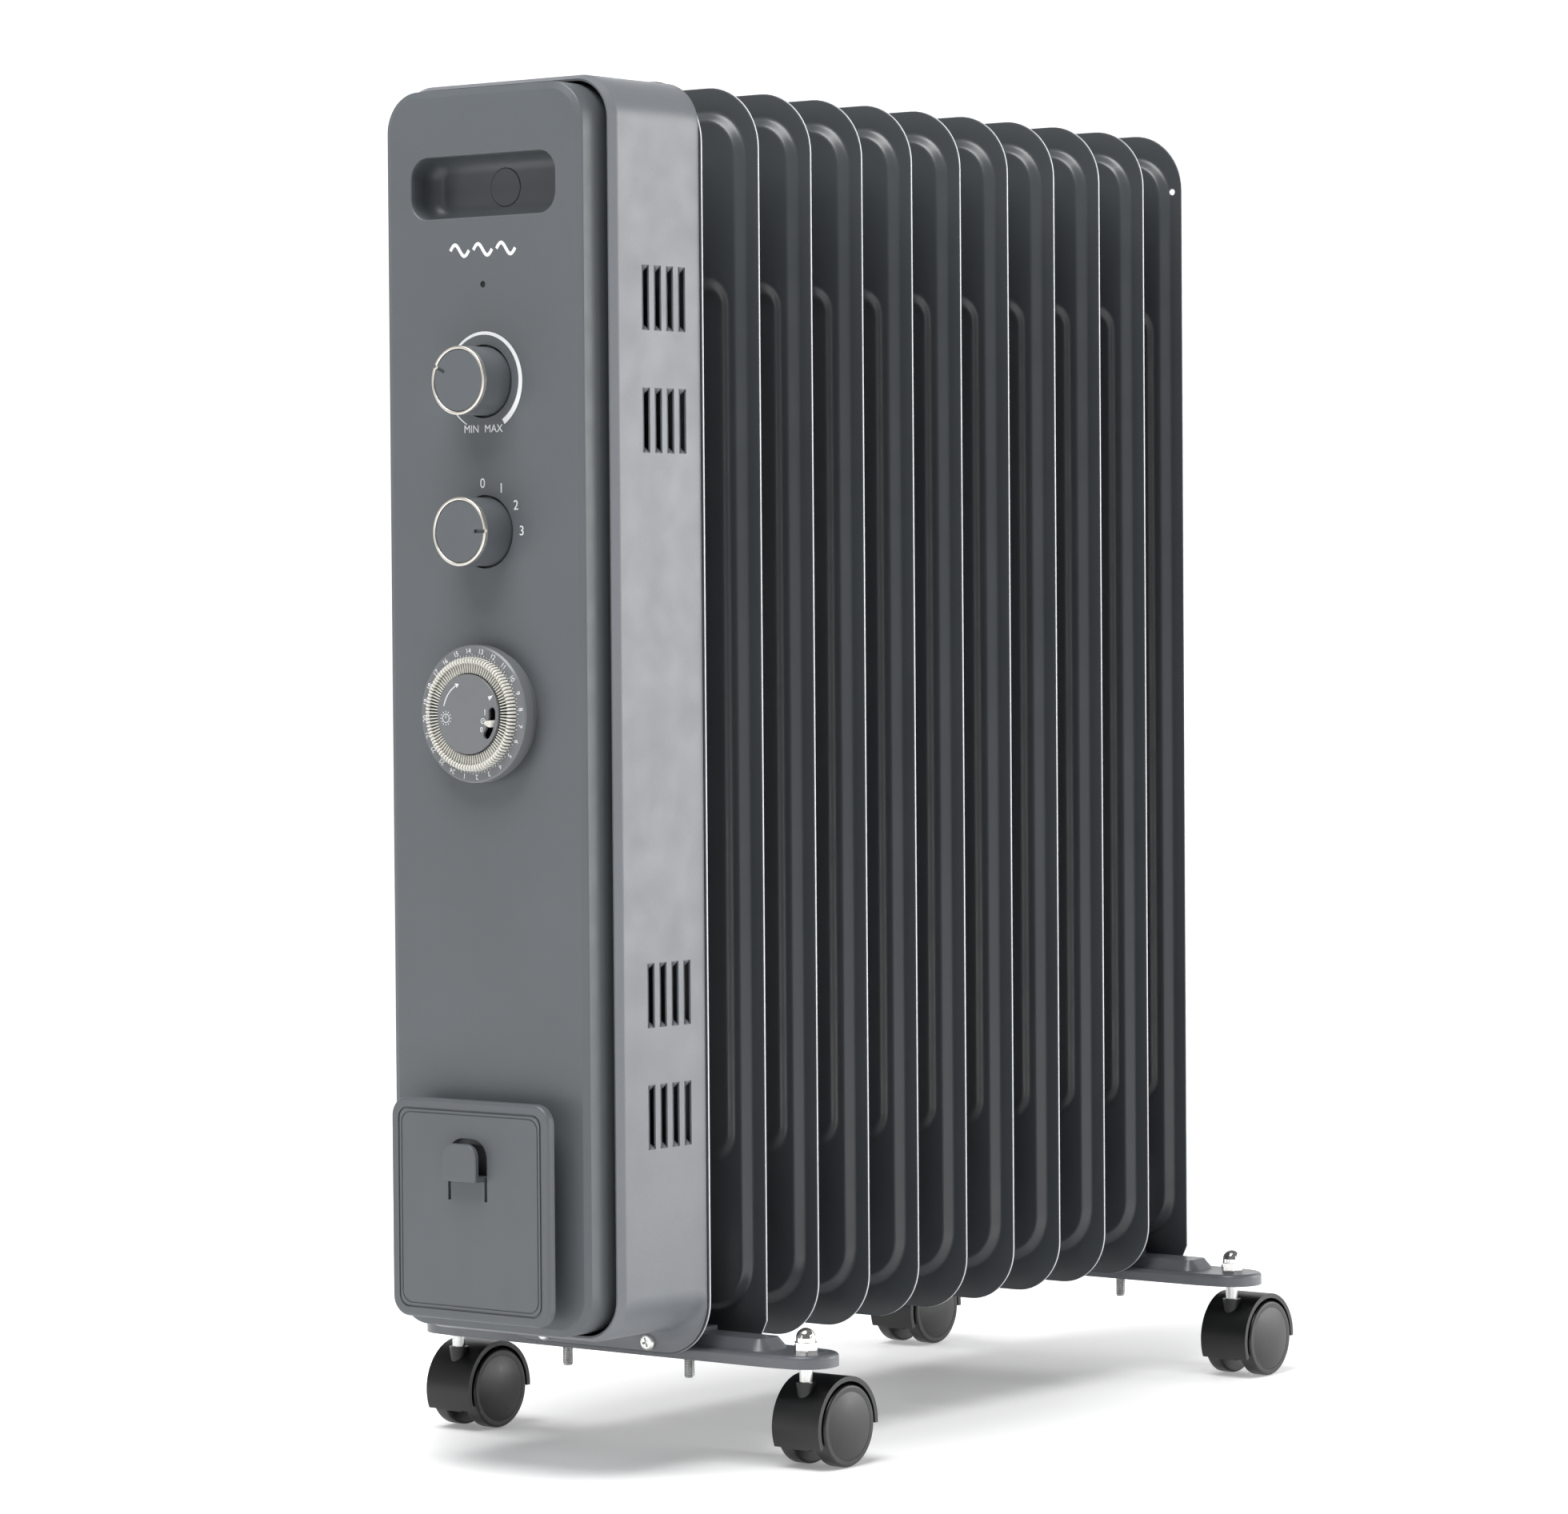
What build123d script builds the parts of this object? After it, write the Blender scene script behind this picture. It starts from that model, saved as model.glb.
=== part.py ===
"""Oil filled radiator heater: eleven pressed fins, a control case, two feet and four twin-wheel casters.

Millimetres. +Z is up, -Y is the control panel's side, +X is to the right of someone facing the panel.
The origin is on the floor, under the middle of the whole heater. Distances called "back" below are
measured along +Y from the front face of the control cover.
"""
import os
from math import atan2, degrees

from build123d import *

os.makedirs("parts", exist_ok=True)

# ---------------------------------------------------------------- fins
FIN_COUNT = 11
FIN_HALF_WIDTH = 65.7
FIN_LOW = 49.5
FIN_HIGH = 629.5
FIN_CORNER = 29.0
FIN_LOW_CORNER = 26.0
FIN_CUT = (6.0, 12.5)       # straight cut of the bottom corners beside the feet, across and up
FIRST_FIN_BACK = 75.6
FIRST_GAP = 41.9            # first fin to second fin, where the front foot sits
FIN_PITCH = 39.5
LAST_GAP = 35.5             # tenth fin to eleventh, where the rear foot sits
SHEET = 0.7                 # thickness of one pressed half
PAN_DEPTH = 4.4             # how far the oil channel stands out from the seam
PAN_DRAFT = 35.0
PAN_HALF_WIDTH = 58.5
PAN_LOW = 65.0
PAN_HIGH = 618.0
PAN_CORNER = 21.0
WEB_HALF_WIDTH = 46.0       # flat web inside the channel, where both halves meet
WEB_LOW = 139.0
WEB_HIGH = 538.0
WEB_CORNER = 9.0
NECK_WIDTH = 62.0           # oil duct between neighbouring fins
NECK_HEIGHT = 34.0
NECK_WALL = 2.0
NECK_Z = (94.0, 578.0)
HANG_HOLE = (60.2, 600.0, 1.6)

# ---------------------------------------------------------------- control cover and case
COVER_HALF_WIDTH = 57.5
COVER_LOW = 65.5
COVER_HIGH = 624.3
COVER_CORNER = 18.0
COVER_DEPTH = 20.0
COVER_WALL = 2.5
COVER_BEVEL = (3.3, 1.3)    # across the face, back along the side
COVER_EDGES = (1.5, 0.7)    # rounding at the bevel's inner and outer ends
COVER_JOINT_Z = 556.0       # the cover is stored as two solids that meet here, below the grip opening
CASE_HALF_WIDTH = 64.5
CASE_LOW = 62.0
CASE_HIGH = 628.0
CASE_CORNER = 20.5
CASE_FRONT = 13.0
CASE_WALL = 1.0
CASE_BEVEL = (2.0, 4.0)     # in towards the cover, back along the side
CASE_FLANGE_LOW = 50.3
CASE_FLANGE_CORNER = 25.0
LOUVRE_Z = (162.4, 217.0, 474.3, 529.0)
LOUVRE_BACK = (36.0, 44.6, 53.2, 61.8)
LOUVRE_SIZE = (5.2, 29.0)   # along the case, up the case
VANE_TILT = 30.0
VANE_REACH = 4.6
VANE_THICKNESS = 0.8
CASE_SCREW_X = 31.0
CASE_SCREW_Z = 54.6

GRIP_HALF_WIDTH = 42.3
GRIP_Z = (566.4, 594.2)
GRIP_CORNER = 9.5
GRIP_DEPTH = 16.4
GRIP_LIP = 0.8
GRIP_WALL = 1.8
GRIP_BACK_CORNER = 7.0
PLUG_RADIUS = 8.6
LAMP_Z = 536.0
LAMP_RADIUS = 1.5
INLET_X = -7.5
INLET_BACK = 7.6
INLET_NECK = 3.9
INLET_BORE = 3.0

# ---------------------------------------------------------------- knobs and timer
THERMOSTAT_Z = 492.6
SELECTOR_Z = 425.2
KNOB_RADIUS = 15.4
KNOB_PROUD = 18.0
KNOB_GAP = 1.1
KNOB_WELL = 4.0             # depth of the well that the knob's skirt turns in
RING_WIDTH = 1.4
RING_DEPTH = 2.2
POINTER_WIDTH = 1.6
POINTER_LENGTH = 5.2
POINTER_DEPTH = 1.4
THERMOSTAT_POINTER = -64.0  # degrees from straight up, clockwise seen from the front
SELECTOR_POINTER = 90.0
SHAFT_RADIUS = 3.0
RUNNING_GAP = 0.05
BRACKET_BACK = 9.5
BRACKET_THICKNESS = 1.2

TIMER_Z = 343.6
TIMER_FLANGE_RADIUS = 29.4
TIMER_BODY_RADIUS = 28.4
TIMER_BODY_DEPTH = 26.0
DIAL_RADIUS = 30.9
DIAL_FACE = 9.6             # how far the dial's numbered face stands out
DIAL_FOOT = 3.7
POST_RADIUS = 17.5
POST_WALL = 0.9
FACE_RADIUS = 17.9
FACE_PROUD = 13.1
TAPPETS = 96
TAPPET_INNER = 18.3
TAPPET_STEP = 23.0
TAPPET_OUTER = 25.2
TAPPET_PROUD = 13.3
TAPPET_LOW_PROUD = 12.2
TAPPET_THICKNESS = 0.62
FACE_THICKNESS = 1.3
PIVOT_RADIUS = 1.0          # pin that the override lever swings on
SLOT_ARC_WIDTH = 3.9        # arc-shaped slot that the override lever shows through
ARM_WIDTH = 3.0
ARM_DEPTHS = (3.0, 5.0)     # front and back of the lever's arm, behind the timer's face
STUD_WIDTH = 3.4
STUD_CORNER = 1.2
STUD_PROUD = 1.9
SWITCH_RADIUS = 14.4        # where the timer's override lever shows through its slot
SWITCH_ANGLE = -17.0        # degrees above +X at rest
SWITCH_TRAVEL = 12.0

# ---------------------------------------------------------------- cord winding plate
PLATE_HALF_WIDTH = 46.5
PLATE_Z = (71.1, 170.5)
PLATE_CORNER = 9.0
PLATE_PROUD = 14.8
PLATE_THICKNESS = 4.0
PLATE_GROOVES = ((4.3, 1.0, 0.7), (6.2, 0.6, 0.4))      # inset from the rim, width, depth
PLATE_GROOVE_CORNER = 5.5
HUB_HALF_WIDTH = 27.0
HUB_Z = (97.0, 153.0)
HOOK_X = -1.0
HOOK_HALF_WIDTH = 9.8
HOOK_PROUD = 6.0
HOOK_Z = (134.5, 151.5)
ARCH_HALF_WIDTH = 11.5
ARCH_TOP = 153.5
SLOT_LOW = 126.0
SLOT_WIDTH = 1.6

# ---------------------------------------------------------------- feet and casters
FOOT_TOP = 53.0
FOOT_LOW = 47.0
FOOT_SHEET = 1.5
FOOT_HALF_DEPTH = 16.2
FOOT_END_RADIUS = 15.0
FOOT_RISE = 5.0             # raised middle of the foot
FOOT_RISE_HALF = (85.0, 12.5)
STEM_X = 104.0
STEM_RADIUS = 3.0
CLAMP_X = 36.4
CLAMP_RADIUS = 2.5
CLAMP_LOW = 36.0
WHEEL_RADIUS = 18.8
WHEEL_INNER = 6.0
WHEEL_OUTER = 14.0
WHEEL_CAP_RADIUS = 15.7
TRAIL = 14.0                # axle behind the swivel stem
AXLE_RADIUS = 2.0
HOOD_INNER = 20.3
HOOD_OUTER = 22.6
HOOD_HALF_WIDTH = 13.2
HOOD_WEB = 4.8
SOCKET_TOP = 39.4

# ---------------------------------------------------------------- places that follow from these
FIN_BACK = [FIRST_FIN_BACK, FIRST_FIN_BACK + FIRST_GAP]
while len(FIN_BACK) < FIN_COUNT - 1:
    FIN_BACK.append(FIN_BACK[-1] + FIN_PITCH)
FIN_BACK.append(FIN_BACK[-1] + LAST_GAP)
FOOT_BACK = {
    "front": (FIN_BACK[0] + FIN_BACK[1]) / 2,
    "rear": (FIN_BACK[-2] + FIN_BACK[-1]) / 2,
}
FRONT_REACH = PLATE_PROUD + HOOK_PROUD
REAR_REACH = FOOT_BACK["rear"] + TRAIL + HOOD_OUTER
FACE_Y = (FRONT_REACH - REAR_REACH) / 2


def prism(outline, front, back, taper=0):
    """Stretch an outline drawn in X and Z from one distance back to another, narrowing to the front."""
    return extrude(Plane.XZ.offset(-(FACE_Y + back)) * outline, back - front, taper=taper)


def rod(radius, x, z, front, back):
    """A round bar along Y."""
    return prism(Pos(x, z) * Circle(radius), front, back)


def upright(radius, x, back, low, high):
    """A round bar along Z."""
    return Pos(x, FACE_Y + back, (low + high) / 2) * Cylinder(radius, high - low)


def block(half_width, front, back, low, high, x=0):
    """A box given by its sides, in X, distance back and height."""
    middle = (x, FACE_Y + (front + back) / 2, (low + high) / 2)
    return Pos(*middle) * Box(2 * half_width, back - front, high - low)


def panel(half_width, low, high, radius):
    """A rounded upright rectangle."""
    return Pos(0, (low + high) / 2) * RectangleRounded(2 * half_width, high - low, radius)


def edges_at(shape, back):
    """The edges that lie at one distance back."""
    return [edge for edge in shape.edges() if max(abs(v.Y - FACE_Y - back) for v in edge.vertices()) < 0.01]


def bevelled(outline, bevel, front, back):
    """A prism whose front edge slopes in by the bevel's first measure over its second."""
    across, along = bevel
    slope = degrees(atan2(across, along))
    return prism(outline, front + along, back) + prism(outline, front, front + along, slope)


def write(name, *solids):
    """One STEP file for a node, holding each of its pieces as a solid of its own."""
    pieces = [piece for solid in solids for piece in solid.solids()]
    shape = pieces[0] if len(pieces) == 1 else Compound(children=pieces)
    export_step(shape, f"parts/{name}.step")


# ---------------------------------------------------------------- radiator
def fin_outline(cut_corners):
    outline = Pos(0, (FIN_LOW + FIN_HIGH) / 2) * Rectangle(2 * FIN_HALF_WIDTH, FIN_HIGH - FIN_LOW)
    outline = fillet(outline.vertices().sort_by(Axis.Y)[2:], FIN_CORNER)
    bottom = outline.vertices().sort_by(Axis.Y)[:2]
    if not cut_corners:
        return fillet(bottom, FIN_LOW_CORNER)
    across, up = FIN_CUT
    for side in (-1, 1):
        edge = side * FIN_HALF_WIDTH
        outline -= Polygon((edge, FIN_LOW), (edge, FIN_LOW + up), (edge - side * across, FIN_LOW), align=None)
    return outline


def neck_outline(shrink=0):
    return [Pos(0, z) * SlotOverall(NECK_WIDTH - 2 * shrink, NECK_HEIGHT - 2 * shrink) for z in NECK_Z]


def half_sheet(cut_corners, open_necks):
    """The front half of a fin whose seam lies at the cover's face: flange, oil channel and web."""
    flange = prism(fin_outline(cut_corners), -SHEET, 0)
    pan = prism(panel(PAN_HALF_WIDTH, PAN_LOW, PAN_HIGH, PAN_CORNER), -PAN_DEPTH, 0, PAN_DRAFT)
    dent = prism(panel(WEB_HALF_WIDTH, WEB_LOW, WEB_HIGH, WEB_CORNER), -PAN_DEPTH - 1, -SHEET, -PAN_DRAFT)
    hollow = prism(
        panel(PAN_HALF_WIDTH - 1.3 * SHEET, PAN_LOW + 1.3 * SHEET, PAN_HIGH - 1.3 * SHEET, PAN_CORNER - SHEET),
        SHEET - PAN_DEPTH, 0, PAN_DRAFT,
    )
    web = prism(
        panel(WEB_HALF_WIDTH + 0.4 * SHEET, WEB_LOW - 0.4 * SHEET, WEB_HIGH + 0.4 * SHEET, WEB_CORNER),
        -PAN_DEPTH, 0, -PAN_DRAFT,
    )
    sheet = flange + pan - dent - (hollow - web)
    if open_necks:
        for outline in neck_outline(NECK_WALL):
            sheet -= prism(outline, -PAN_DEPTH - 1, 1)
    return sheet


def make_fins():
    middle = Plane.XZ.offset(-FACE_Y)
    for index, back in enumerate(FIN_BACK):
        first, last = index == 0, index == FIN_COUNT - 1
        cut_corners = index in (1, FIN_COUNT - 1)
        front = half_sheet(cut_corners, True)
        rear = mirror(half_sheet(cut_corners, not last), about=middle)
        if first:
            for x in (-CASE_SCREW_X, CASE_SCREW_X):
                hole = rod(2.05, x, CASE_SCREW_Z, -2, 2)
                front -= hole
                rear -= hole
        if last:
            hole = rod(HANG_HOLE[2], HANG_HOLE[0], HANG_HOLE[1], -2, 2)
            front -= hole
            rear -= hole
        pieces = [Pos(0, back, 0) * front, Pos(0, back, 0) * rear]
        if not last:
            start, end = back + PAN_DEPTH, FIN_BACK[index + 1] - PAN_DEPTH
            for outer, inner in zip(neck_outline(), neck_outline(NECK_WALL)):
                pieces.append(prism(outer - inner, start, end))
        write(f"fin_{index + 1:02d}", *pieces)
    seat = FIN_BACK[-1] + PAN_DEPTH
    plug = rod(9.0, 0, NECK_Z[1], seat, seat + 1.6) + rod(5.0, 0, NECK_Z[1], seat + 1.6, seat + 4.0)
    write("oil_filler_plug", fillet(plug.edges().group_by(Axis.Y)[-1], 1.2))


def make_heating():
    """Two bent heating tubes in the lower oil duct, and the plug that holds them in the first fin."""
    z = NECK_Z[0]
    seat = FIN_BACK[0] - PAN_DEPTH
    tube, spread, length = 3.6, 6.0, 340.0
    tubes = []
    for x in (-14.0, 14.0):
        near, far = FACE_Y + seat - 9, FACE_Y + seat + length
        path = FilletPolyline((x - spread, near, z), (x - spread, far, z), (x + spread, far, z),
                              (x + spread, near, z), radius=spread - 0.01)
        tubes.append(sweep(Plane(origin=path @ 0, z_dir=path % 0) * Circle(tube), path=path))
    flange_outline = Pos(0, z) * SlotOverall(NECK_WIDTH + 6, NECK_HEIGHT + 6)
    holes = [Pos(x + side * spread, z) * Circle(tube) for x in (-14.0, 14.0) for side in (-1, 1)]
    flange = prism(flange_outline - holes, seat - 3.5, seat - 1)
    gasket = prism(flange_outline - Pos(0, z) * SlotOverall(NECK_WIDTH - 4, NECK_HEIGHT - 4), seat - 1, seat)
    pins = [rod(1.4, x + side * spread, z, seat - 17, seat - 9) for x in (-14.0, 14.0) for side in (-1, 1)]
    write("heating_tubes", *tubes)
    write("heater_flange", flange, *pins)
    write("heater_gasket", gasket)


# ---------------------------------------------------------------- control cover and case
def knob_well(z):
    """The thickening behind the cover round a knob's well."""
    return rod(KNOB_RADIUS + KNOB_GAP + 1.8, 0, z, 1, KNOB_WELL + 2)


def lip(cover, low, high, radius):
    """Round the front edge of the opening that lies between two heights of the cover's face."""
    edges = [edge for edge in edges_at(cover, 0)
             if low < edge.center().Z < high and abs(edge.center().X) < GRIP_HALF_WIDTH + 1]
    return fillet(edges, radius)


def make_cover():
    face = panel(COVER_HALF_WIDTH, COVER_LOW, COVER_HIGH, COVER_CORNER)
    cover = bevelled(face, COVER_BEVEL, 0, COVER_DEPTH)
    cover = fillet(cover.edges().group_by(Axis.Y)[0], COVER_EDGES[0])
    cover = fillet(edges_at(cover, COVER_BEVEL[1]), COVER_EDGES[1])
    inside = panel(COVER_HALF_WIDTH - COVER_WALL, COVER_LOW + COVER_WALL, COVER_HIGH - COVER_WALL,
                   COVER_CORNER - COVER_WALL)
    cover -= prism(inside, COVER_WALL, COVER_DEPTH + 1)
    for z in (THERMOSTAT_Z, SELECTOR_Z):
        cover += knob_well(z)
        cover -= rod(KNOB_RADIUS + KNOB_GAP, 0, z, -1, KNOB_WELL)
        cover -= rod(SHAFT_RADIUS + 1, 0, z, 0, KNOB_WELL + 3)
    cover -= prism(panel(GRIP_HALF_WIDTH, *GRIP_Z, GRIP_CORNER), -1, COVER_WALL + 1)
    cover = lip(cover, GRIP_Z[0] - 1, GRIP_Z[1] + 1, GRIP_LIP)
    cover -= rod(LAMP_RADIUS, 0, LAMP_Z, -1, COVER_WALL + 1)
    cover -= rod(TIMER_BODY_RADIUS + 0.2, 0, TIMER_Z, -1, COVER_WALL + 1)
    cover -= upright(INLET_NECK, INLET_X, INLET_BACK, COVER_LOW - 1, COVER_LOW + COVER_WALL + 1)
    joint = Plane.XY.offset(COVER_JOINT_Z)
    write("front_cover", split(cover, joint, keep=Keep.TOP), split(cover, joint, keep=Keep.BOTTOM))
    flange_low = COVER_LOW + COVER_WALL
    bush = upright(INLET_NECK + 0.9, INLET_X, INLET_BACK, flange_low, flange_low + 2)
    bush += upright(INLET_NECK, INLET_X, INLET_BACK, COVER_LOW, flange_low)
    bush -= upright(INLET_BORE, INLET_X, INLET_BACK, COVER_LOW - 1, flange_low + 3)
    write("cord_inlet_bush", bush)


def make_case():
    """The wrapped steel case: sloping front rim, louvred sides and a deeper flange against the first fin."""
    back = FIN_BACK[0] - SHEET
    shell = bevelled(panel(CASE_HALF_WIDTH, CASE_LOW, CASE_HIGH, CASE_CORNER), CASE_BEVEL, CASE_FRONT, back)
    inside = panel(CASE_HALF_WIDTH - CASE_WALL, CASE_LOW + CASE_WALL, CASE_HIGH - CASE_WALL,
                   CASE_CORNER - CASE_WALL)
    room = bevelled(inside, CASE_BEVEL, CASE_FRONT, back - CASE_WALL)
    flange_outline = Pos(0, (CASE_FLANGE_LOW + CASE_HIGH) / 2) * Rectangle(
        2 * CASE_HALF_WIDTH + 0.8, CASE_HIGH - CASE_FLANGE_LOW)
    flange_outline = fillet(flange_outline.vertices().sort_by(Axis.Y)[2:], CASE_CORNER)
    flange_outline = fillet(flange_outline.vertices().sort_by(Axis.Y)[:2], CASE_FLANGE_CORNER)
    opening = panel(PAN_HALF_WIDTH + 0.8, PAN_LOW - 0.8, PAN_HIGH + 0.8, PAN_CORNER)
    case = shell - room + prism(flange_outline, back - CASE_WALL, back)
    case -= prism(opening, back - 3, back + 1)
    for side in (-1, 1):
        for z in LOUVRE_Z:
            for louvre in LOUVRE_BACK:
                width, height = LOUVRE_SIZE
                case -= block(2, louvre - width / 2, louvre + width / 2, z - height / 2, z + height / 2,
                              side * CASE_HALF_WIDTH)
                hinge = (side * (CASE_HALF_WIDTH - CASE_WALL / 2), FACE_Y + louvre - width / 2, z)
                vane = Pos(*hinge) * Rot(0, 0, side * VANE_TILT) * Pos(0, VANE_REACH / 2, 0) * Box(
                    VANE_THICKNESS, VANE_REACH, height)
                case += vane
    for x in (-CASE_SCREW_X, CASE_SCREW_X):
        case -= rod(2.05, x, CASE_SCREW_Z, back - 3, back + 1)
    write("side_case", case)
    screws = []
    for x in (-CASE_SCREW_X, CASE_SCREW_X):
        head = rod(4.0, x, CASE_SCREW_Z, back - CASE_WALL - 2.4, back - CASE_WALL)
        head = fillet(head.edges().group_by(Axis.Y)[0], 1.4)
        for turn in (0, 90):
            slot = Pos(x, CASE_SCREW_Z) * Rot(0, 0, turn + 20) * Rectangle(4.4, 0.9)
            head -= prism(slot, back - CASE_WALL - 3, back - CASE_WALL - 1.2)
        screws.append(head + rod(2.0, x, CASE_SCREW_Z, back - CASE_WALL, back + 3.5))
    write("case_screws", *screws)


def make_grip():
    """The finger pocket behind the cover's upper opening, with the round plug in its back wall."""
    outer = prism(panel(GRIP_HALF_WIDTH + GRIP_WALL, GRIP_Z[0] - GRIP_WALL, GRIP_Z[1] + GRIP_WALL,
                        GRIP_CORNER + GRIP_WALL), COVER_WALL, GRIP_DEPTH + GRIP_WALL)
    pocket = prism(panel(GRIP_HALF_WIDTH, *GRIP_Z, GRIP_CORNER), COVER_WALL - 1, GRIP_DEPTH)
    pocket = fillet(pocket.edges().group_by(Axis.Y)[-1], GRIP_BACK_CORNER)
    plug_z = sum(GRIP_Z) / 2
    cup = outer - pocket - rod(PLUG_RADIUS + 0.25, 0, plug_z, GRIP_DEPTH - 1, GRIP_DEPTH + 3)
    write("grip_pocket", cup)
    plug = rod(PLUG_RADIUS, 0, plug_z, GRIP_DEPTH - 0.3, GRIP_DEPTH + GRIP_WALL)
    plug += rod(PLUG_RADIUS + 2, 0, plug_z, GRIP_DEPTH + GRIP_WALL, GRIP_DEPTH + GRIP_WALL + 1.2)
    write("grip_plug", fillet(plug.edges().group_by(Axis.Y)[0], 0.25))


def make_indicator():
    lens = rod(LAMP_RADIUS, 0, LAMP_Z, 0.5, COVER_WALL) + rod(LAMP_RADIUS + 1.5, 0, LAMP_Z, COVER_WALL, 4)
    lamp = rod(2.6, 0, LAMP_Z, 4, 18)
    lamp = fillet(lamp.edges().group_by(Axis.Y)[0], 1.5)
    write("indicator_lamp", lens, lamp)


# ---------------------------------------------------------------- knobs
def make_knob(name, z, pointer):
    """A cylindrical knob with its shaft, and the metal ring let into its front edge."""
    body = rod(KNOB_RADIUS, 0, z, RING_DEPTH - KNOB_PROUD, KNOB_WELL - 0.6)
    cap = rod(KNOB_RADIUS - RING_WIDTH - 0.2, 0, z, 0.3 - KNOB_PROUD, RING_DEPTH - KNOB_PROUD)
    cap = fillet(cap.edges().group_by(Axis.Y)[0], 0.3)
    turn = Pos(0, z) * Rot(0, 0, -pointer)
    reach = KNOB_RADIUS - RING_WIDTH
    mark = turn * Pos(0, reach - POINTER_LENGTH / 2) * Rectangle(POINTER_WIDTH, POINTER_LENGTH)
    cap -= prism(mark, -KNOB_PROUD, POINTER_DEPTH - KNOB_PROUD)
    shaft = rod(SHAFT_RADIUS, 0, z, KNOB_WELL - 0.6, BRACKET_BACK + 15)
    ring = rod(KNOB_RADIUS, 0, z, -KNOB_PROUD, RING_DEPTH - KNOB_PROUD)
    ring -= rod(KNOB_RADIUS - RING_WIDTH, 0, z, -KNOB_PROUD - 1, RING_DEPTH - KNOB_PROUD + 1)
    ring = fillet(ring.edges().group_by(Axis.Y)[0], 0.5)
    notch = turn * Pos(0, KNOB_RADIUS) * Rectangle(POINTER_WIDTH, 2 * RING_WIDTH + 2)
    ring -= prism(notch, -KNOB_PROUD - 1, POINTER_DEPTH - KNOB_PROUD)
    write(f"{name}_knob", body + cap + shaft)
    write(f"{name}_knob_ring", ring)


def make_switch_body(name, z, size, depth):
    """A switch behind the bracket, with the threaded nose that its shaft turns in."""
    back = BRACKET_BACK + BRACKET_THICKNESS
    body = block(size / 2, back, back + depth, z - size / 2, z + size / 2)
    body += rod(5.2, 0, z, KNOB_WELL + 2.4, back)
    body -= rod(SHAFT_RADIUS + RUNNING_GAP, 0, z, 0, back + depth - 2)
    for x in (-size / 4, size / 4):
        body += block(0.5, back + depth, back + depth + 7, z - 4, z + 4, x)
    write(f"{name}_body", body)


def make_bracket():
    back = BRACKET_BACK
    plate = block(50, back, back + BRACKET_THICKNESS, 392, 548)
    for z, radius in ((THERMOSTAT_Z, 5.2), (SELECTOR_Z, 5.2), (LAMP_Z, 2.7)):
        plate -= rod(radius, 0, z, back - 1, back + 3)
    for side in (-1, 1):
        plate += block(0.6, back, back + 12, 392, 548, side * 49.4)
    write("control_bracket", plate)


# ---------------------------------------------------------------- timer
def timer_slot(width):
    """The arc-shaped slot that the override lever moves in."""
    swing = SWITCH_TRAVEL + 10
    centre = CenterArc((0, 0), SWITCH_RADIUS, SWITCH_ANGLE - swing, 2 * swing)
    return Pos(0, TIMER_Z) * SlotArc(centre, width)


def make_timer():
    body = rod(TIMER_BODY_RADIUS, 0, TIMER_Z, 0, TIMER_BODY_DEPTH)
    flange = rod(TIMER_FLANGE_RADIUS, 0, TIMER_Z, 0.4 - DIAL_FOOT, 0)
    body += fillet(flange.edges().group_by(Axis.Y)[0], 0.4)
    body += rod(POST_RADIUS, 0, TIMER_Z, FACE_THICKNESS - FACE_PROUD, 0)
    body -= rod(POST_RADIUS - POST_WALL, 0, TIMER_Z, -FACE_PROUD, -3)
    body += rod(PIVOT_RADIUS, 0, TIMER_Z, FACE_THICKNESS - FACE_PROUD, -2)
    write("timer_body", body)

    face = rod(FACE_RADIUS, 0, TIMER_Z, -FACE_PROUD, FACE_THICKNESS - FACE_PROUD)
    face = fillet(face.edges().group_by(Axis.Y)[0], 0.3)
    face -= prism(timer_slot(SLOT_ARC_WIDTH), -FACE_PROUD - 1, 2 - FACE_PROUD)
    write("timer_face", face)

    dial = rod(DIAL_RADIUS, 0, TIMER_Z, -DIAL_FACE, -DIAL_FOOT)
    dial = chamfer(dial.edges().group_by(Axis.Y)[0], 0.8)
    dial -= rod(POST_RADIUS + RUNNING_GAP, 0, TIMER_Z, -DIAL_FACE - 1, 1)
    write("timer_dial", dial)

    profile = [(TAPPET_INNER, DIAL_FACE), (TAPPET_OUTER + 0.6, DIAL_FACE), (TAPPET_OUTER, TAPPET_PROUD),
               (TAPPET_STEP + 0.4, TAPPET_PROUD), (TAPPET_STEP, TAPPET_LOW_PROUD),
               (TAPPET_INNER, TAPPET_LOW_PROUD)]
    outline = make_face(Polyline(*[(r, 0, proud) for r, proud in profile], close=True))
    tappet = extrude(outline, TAPPET_THICKNESS / 2, both=True)
    axis_frame = Pos(0, FACE_Y, TIMER_Z) * Rot(90, 0, 0)
    tappets = [axis_frame * Rot(0, 0, 360 * step / TAPPETS) * tappet for step in range(TAPPETS)]
    write("timer_tappets", *tappets)

    arm_front, arm_back = [depth - FACE_PROUD for depth in ARM_DEPTHS]
    tilt = Pos(0, TIMER_Z) * Rot(0, 0, SWITCH_ANGLE)
    arm_outline = tilt * Pos(SWITCH_RADIUS / 2, 0) * SlotOverall(SWITCH_RADIUS + ARM_WIDTH, ARM_WIDTH)
    arm = prism(arm_outline, arm_front, arm_back)
    arm += rod(ARM_WIDTH, 0, TIMER_Z, arm_front, arm_back)
    arm -= rod(PIVOT_RADIUS + RUNNING_GAP, 0, TIMER_Z, arm_front - 1, arm_back + 1)
    stud_outline = tilt * Pos(SWITCH_RADIUS, 0) * RectangleRounded(STUD_WIDTH, STUD_WIDTH, STUD_CORNER)
    stud = prism(stud_outline, -FACE_PROUD - STUD_PROUD, arm_back)
    stud = fillet(stud.edges().group_by(Axis.Y)[0], 0.5)
    write("timer_override_lever", arm + stud)


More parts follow.
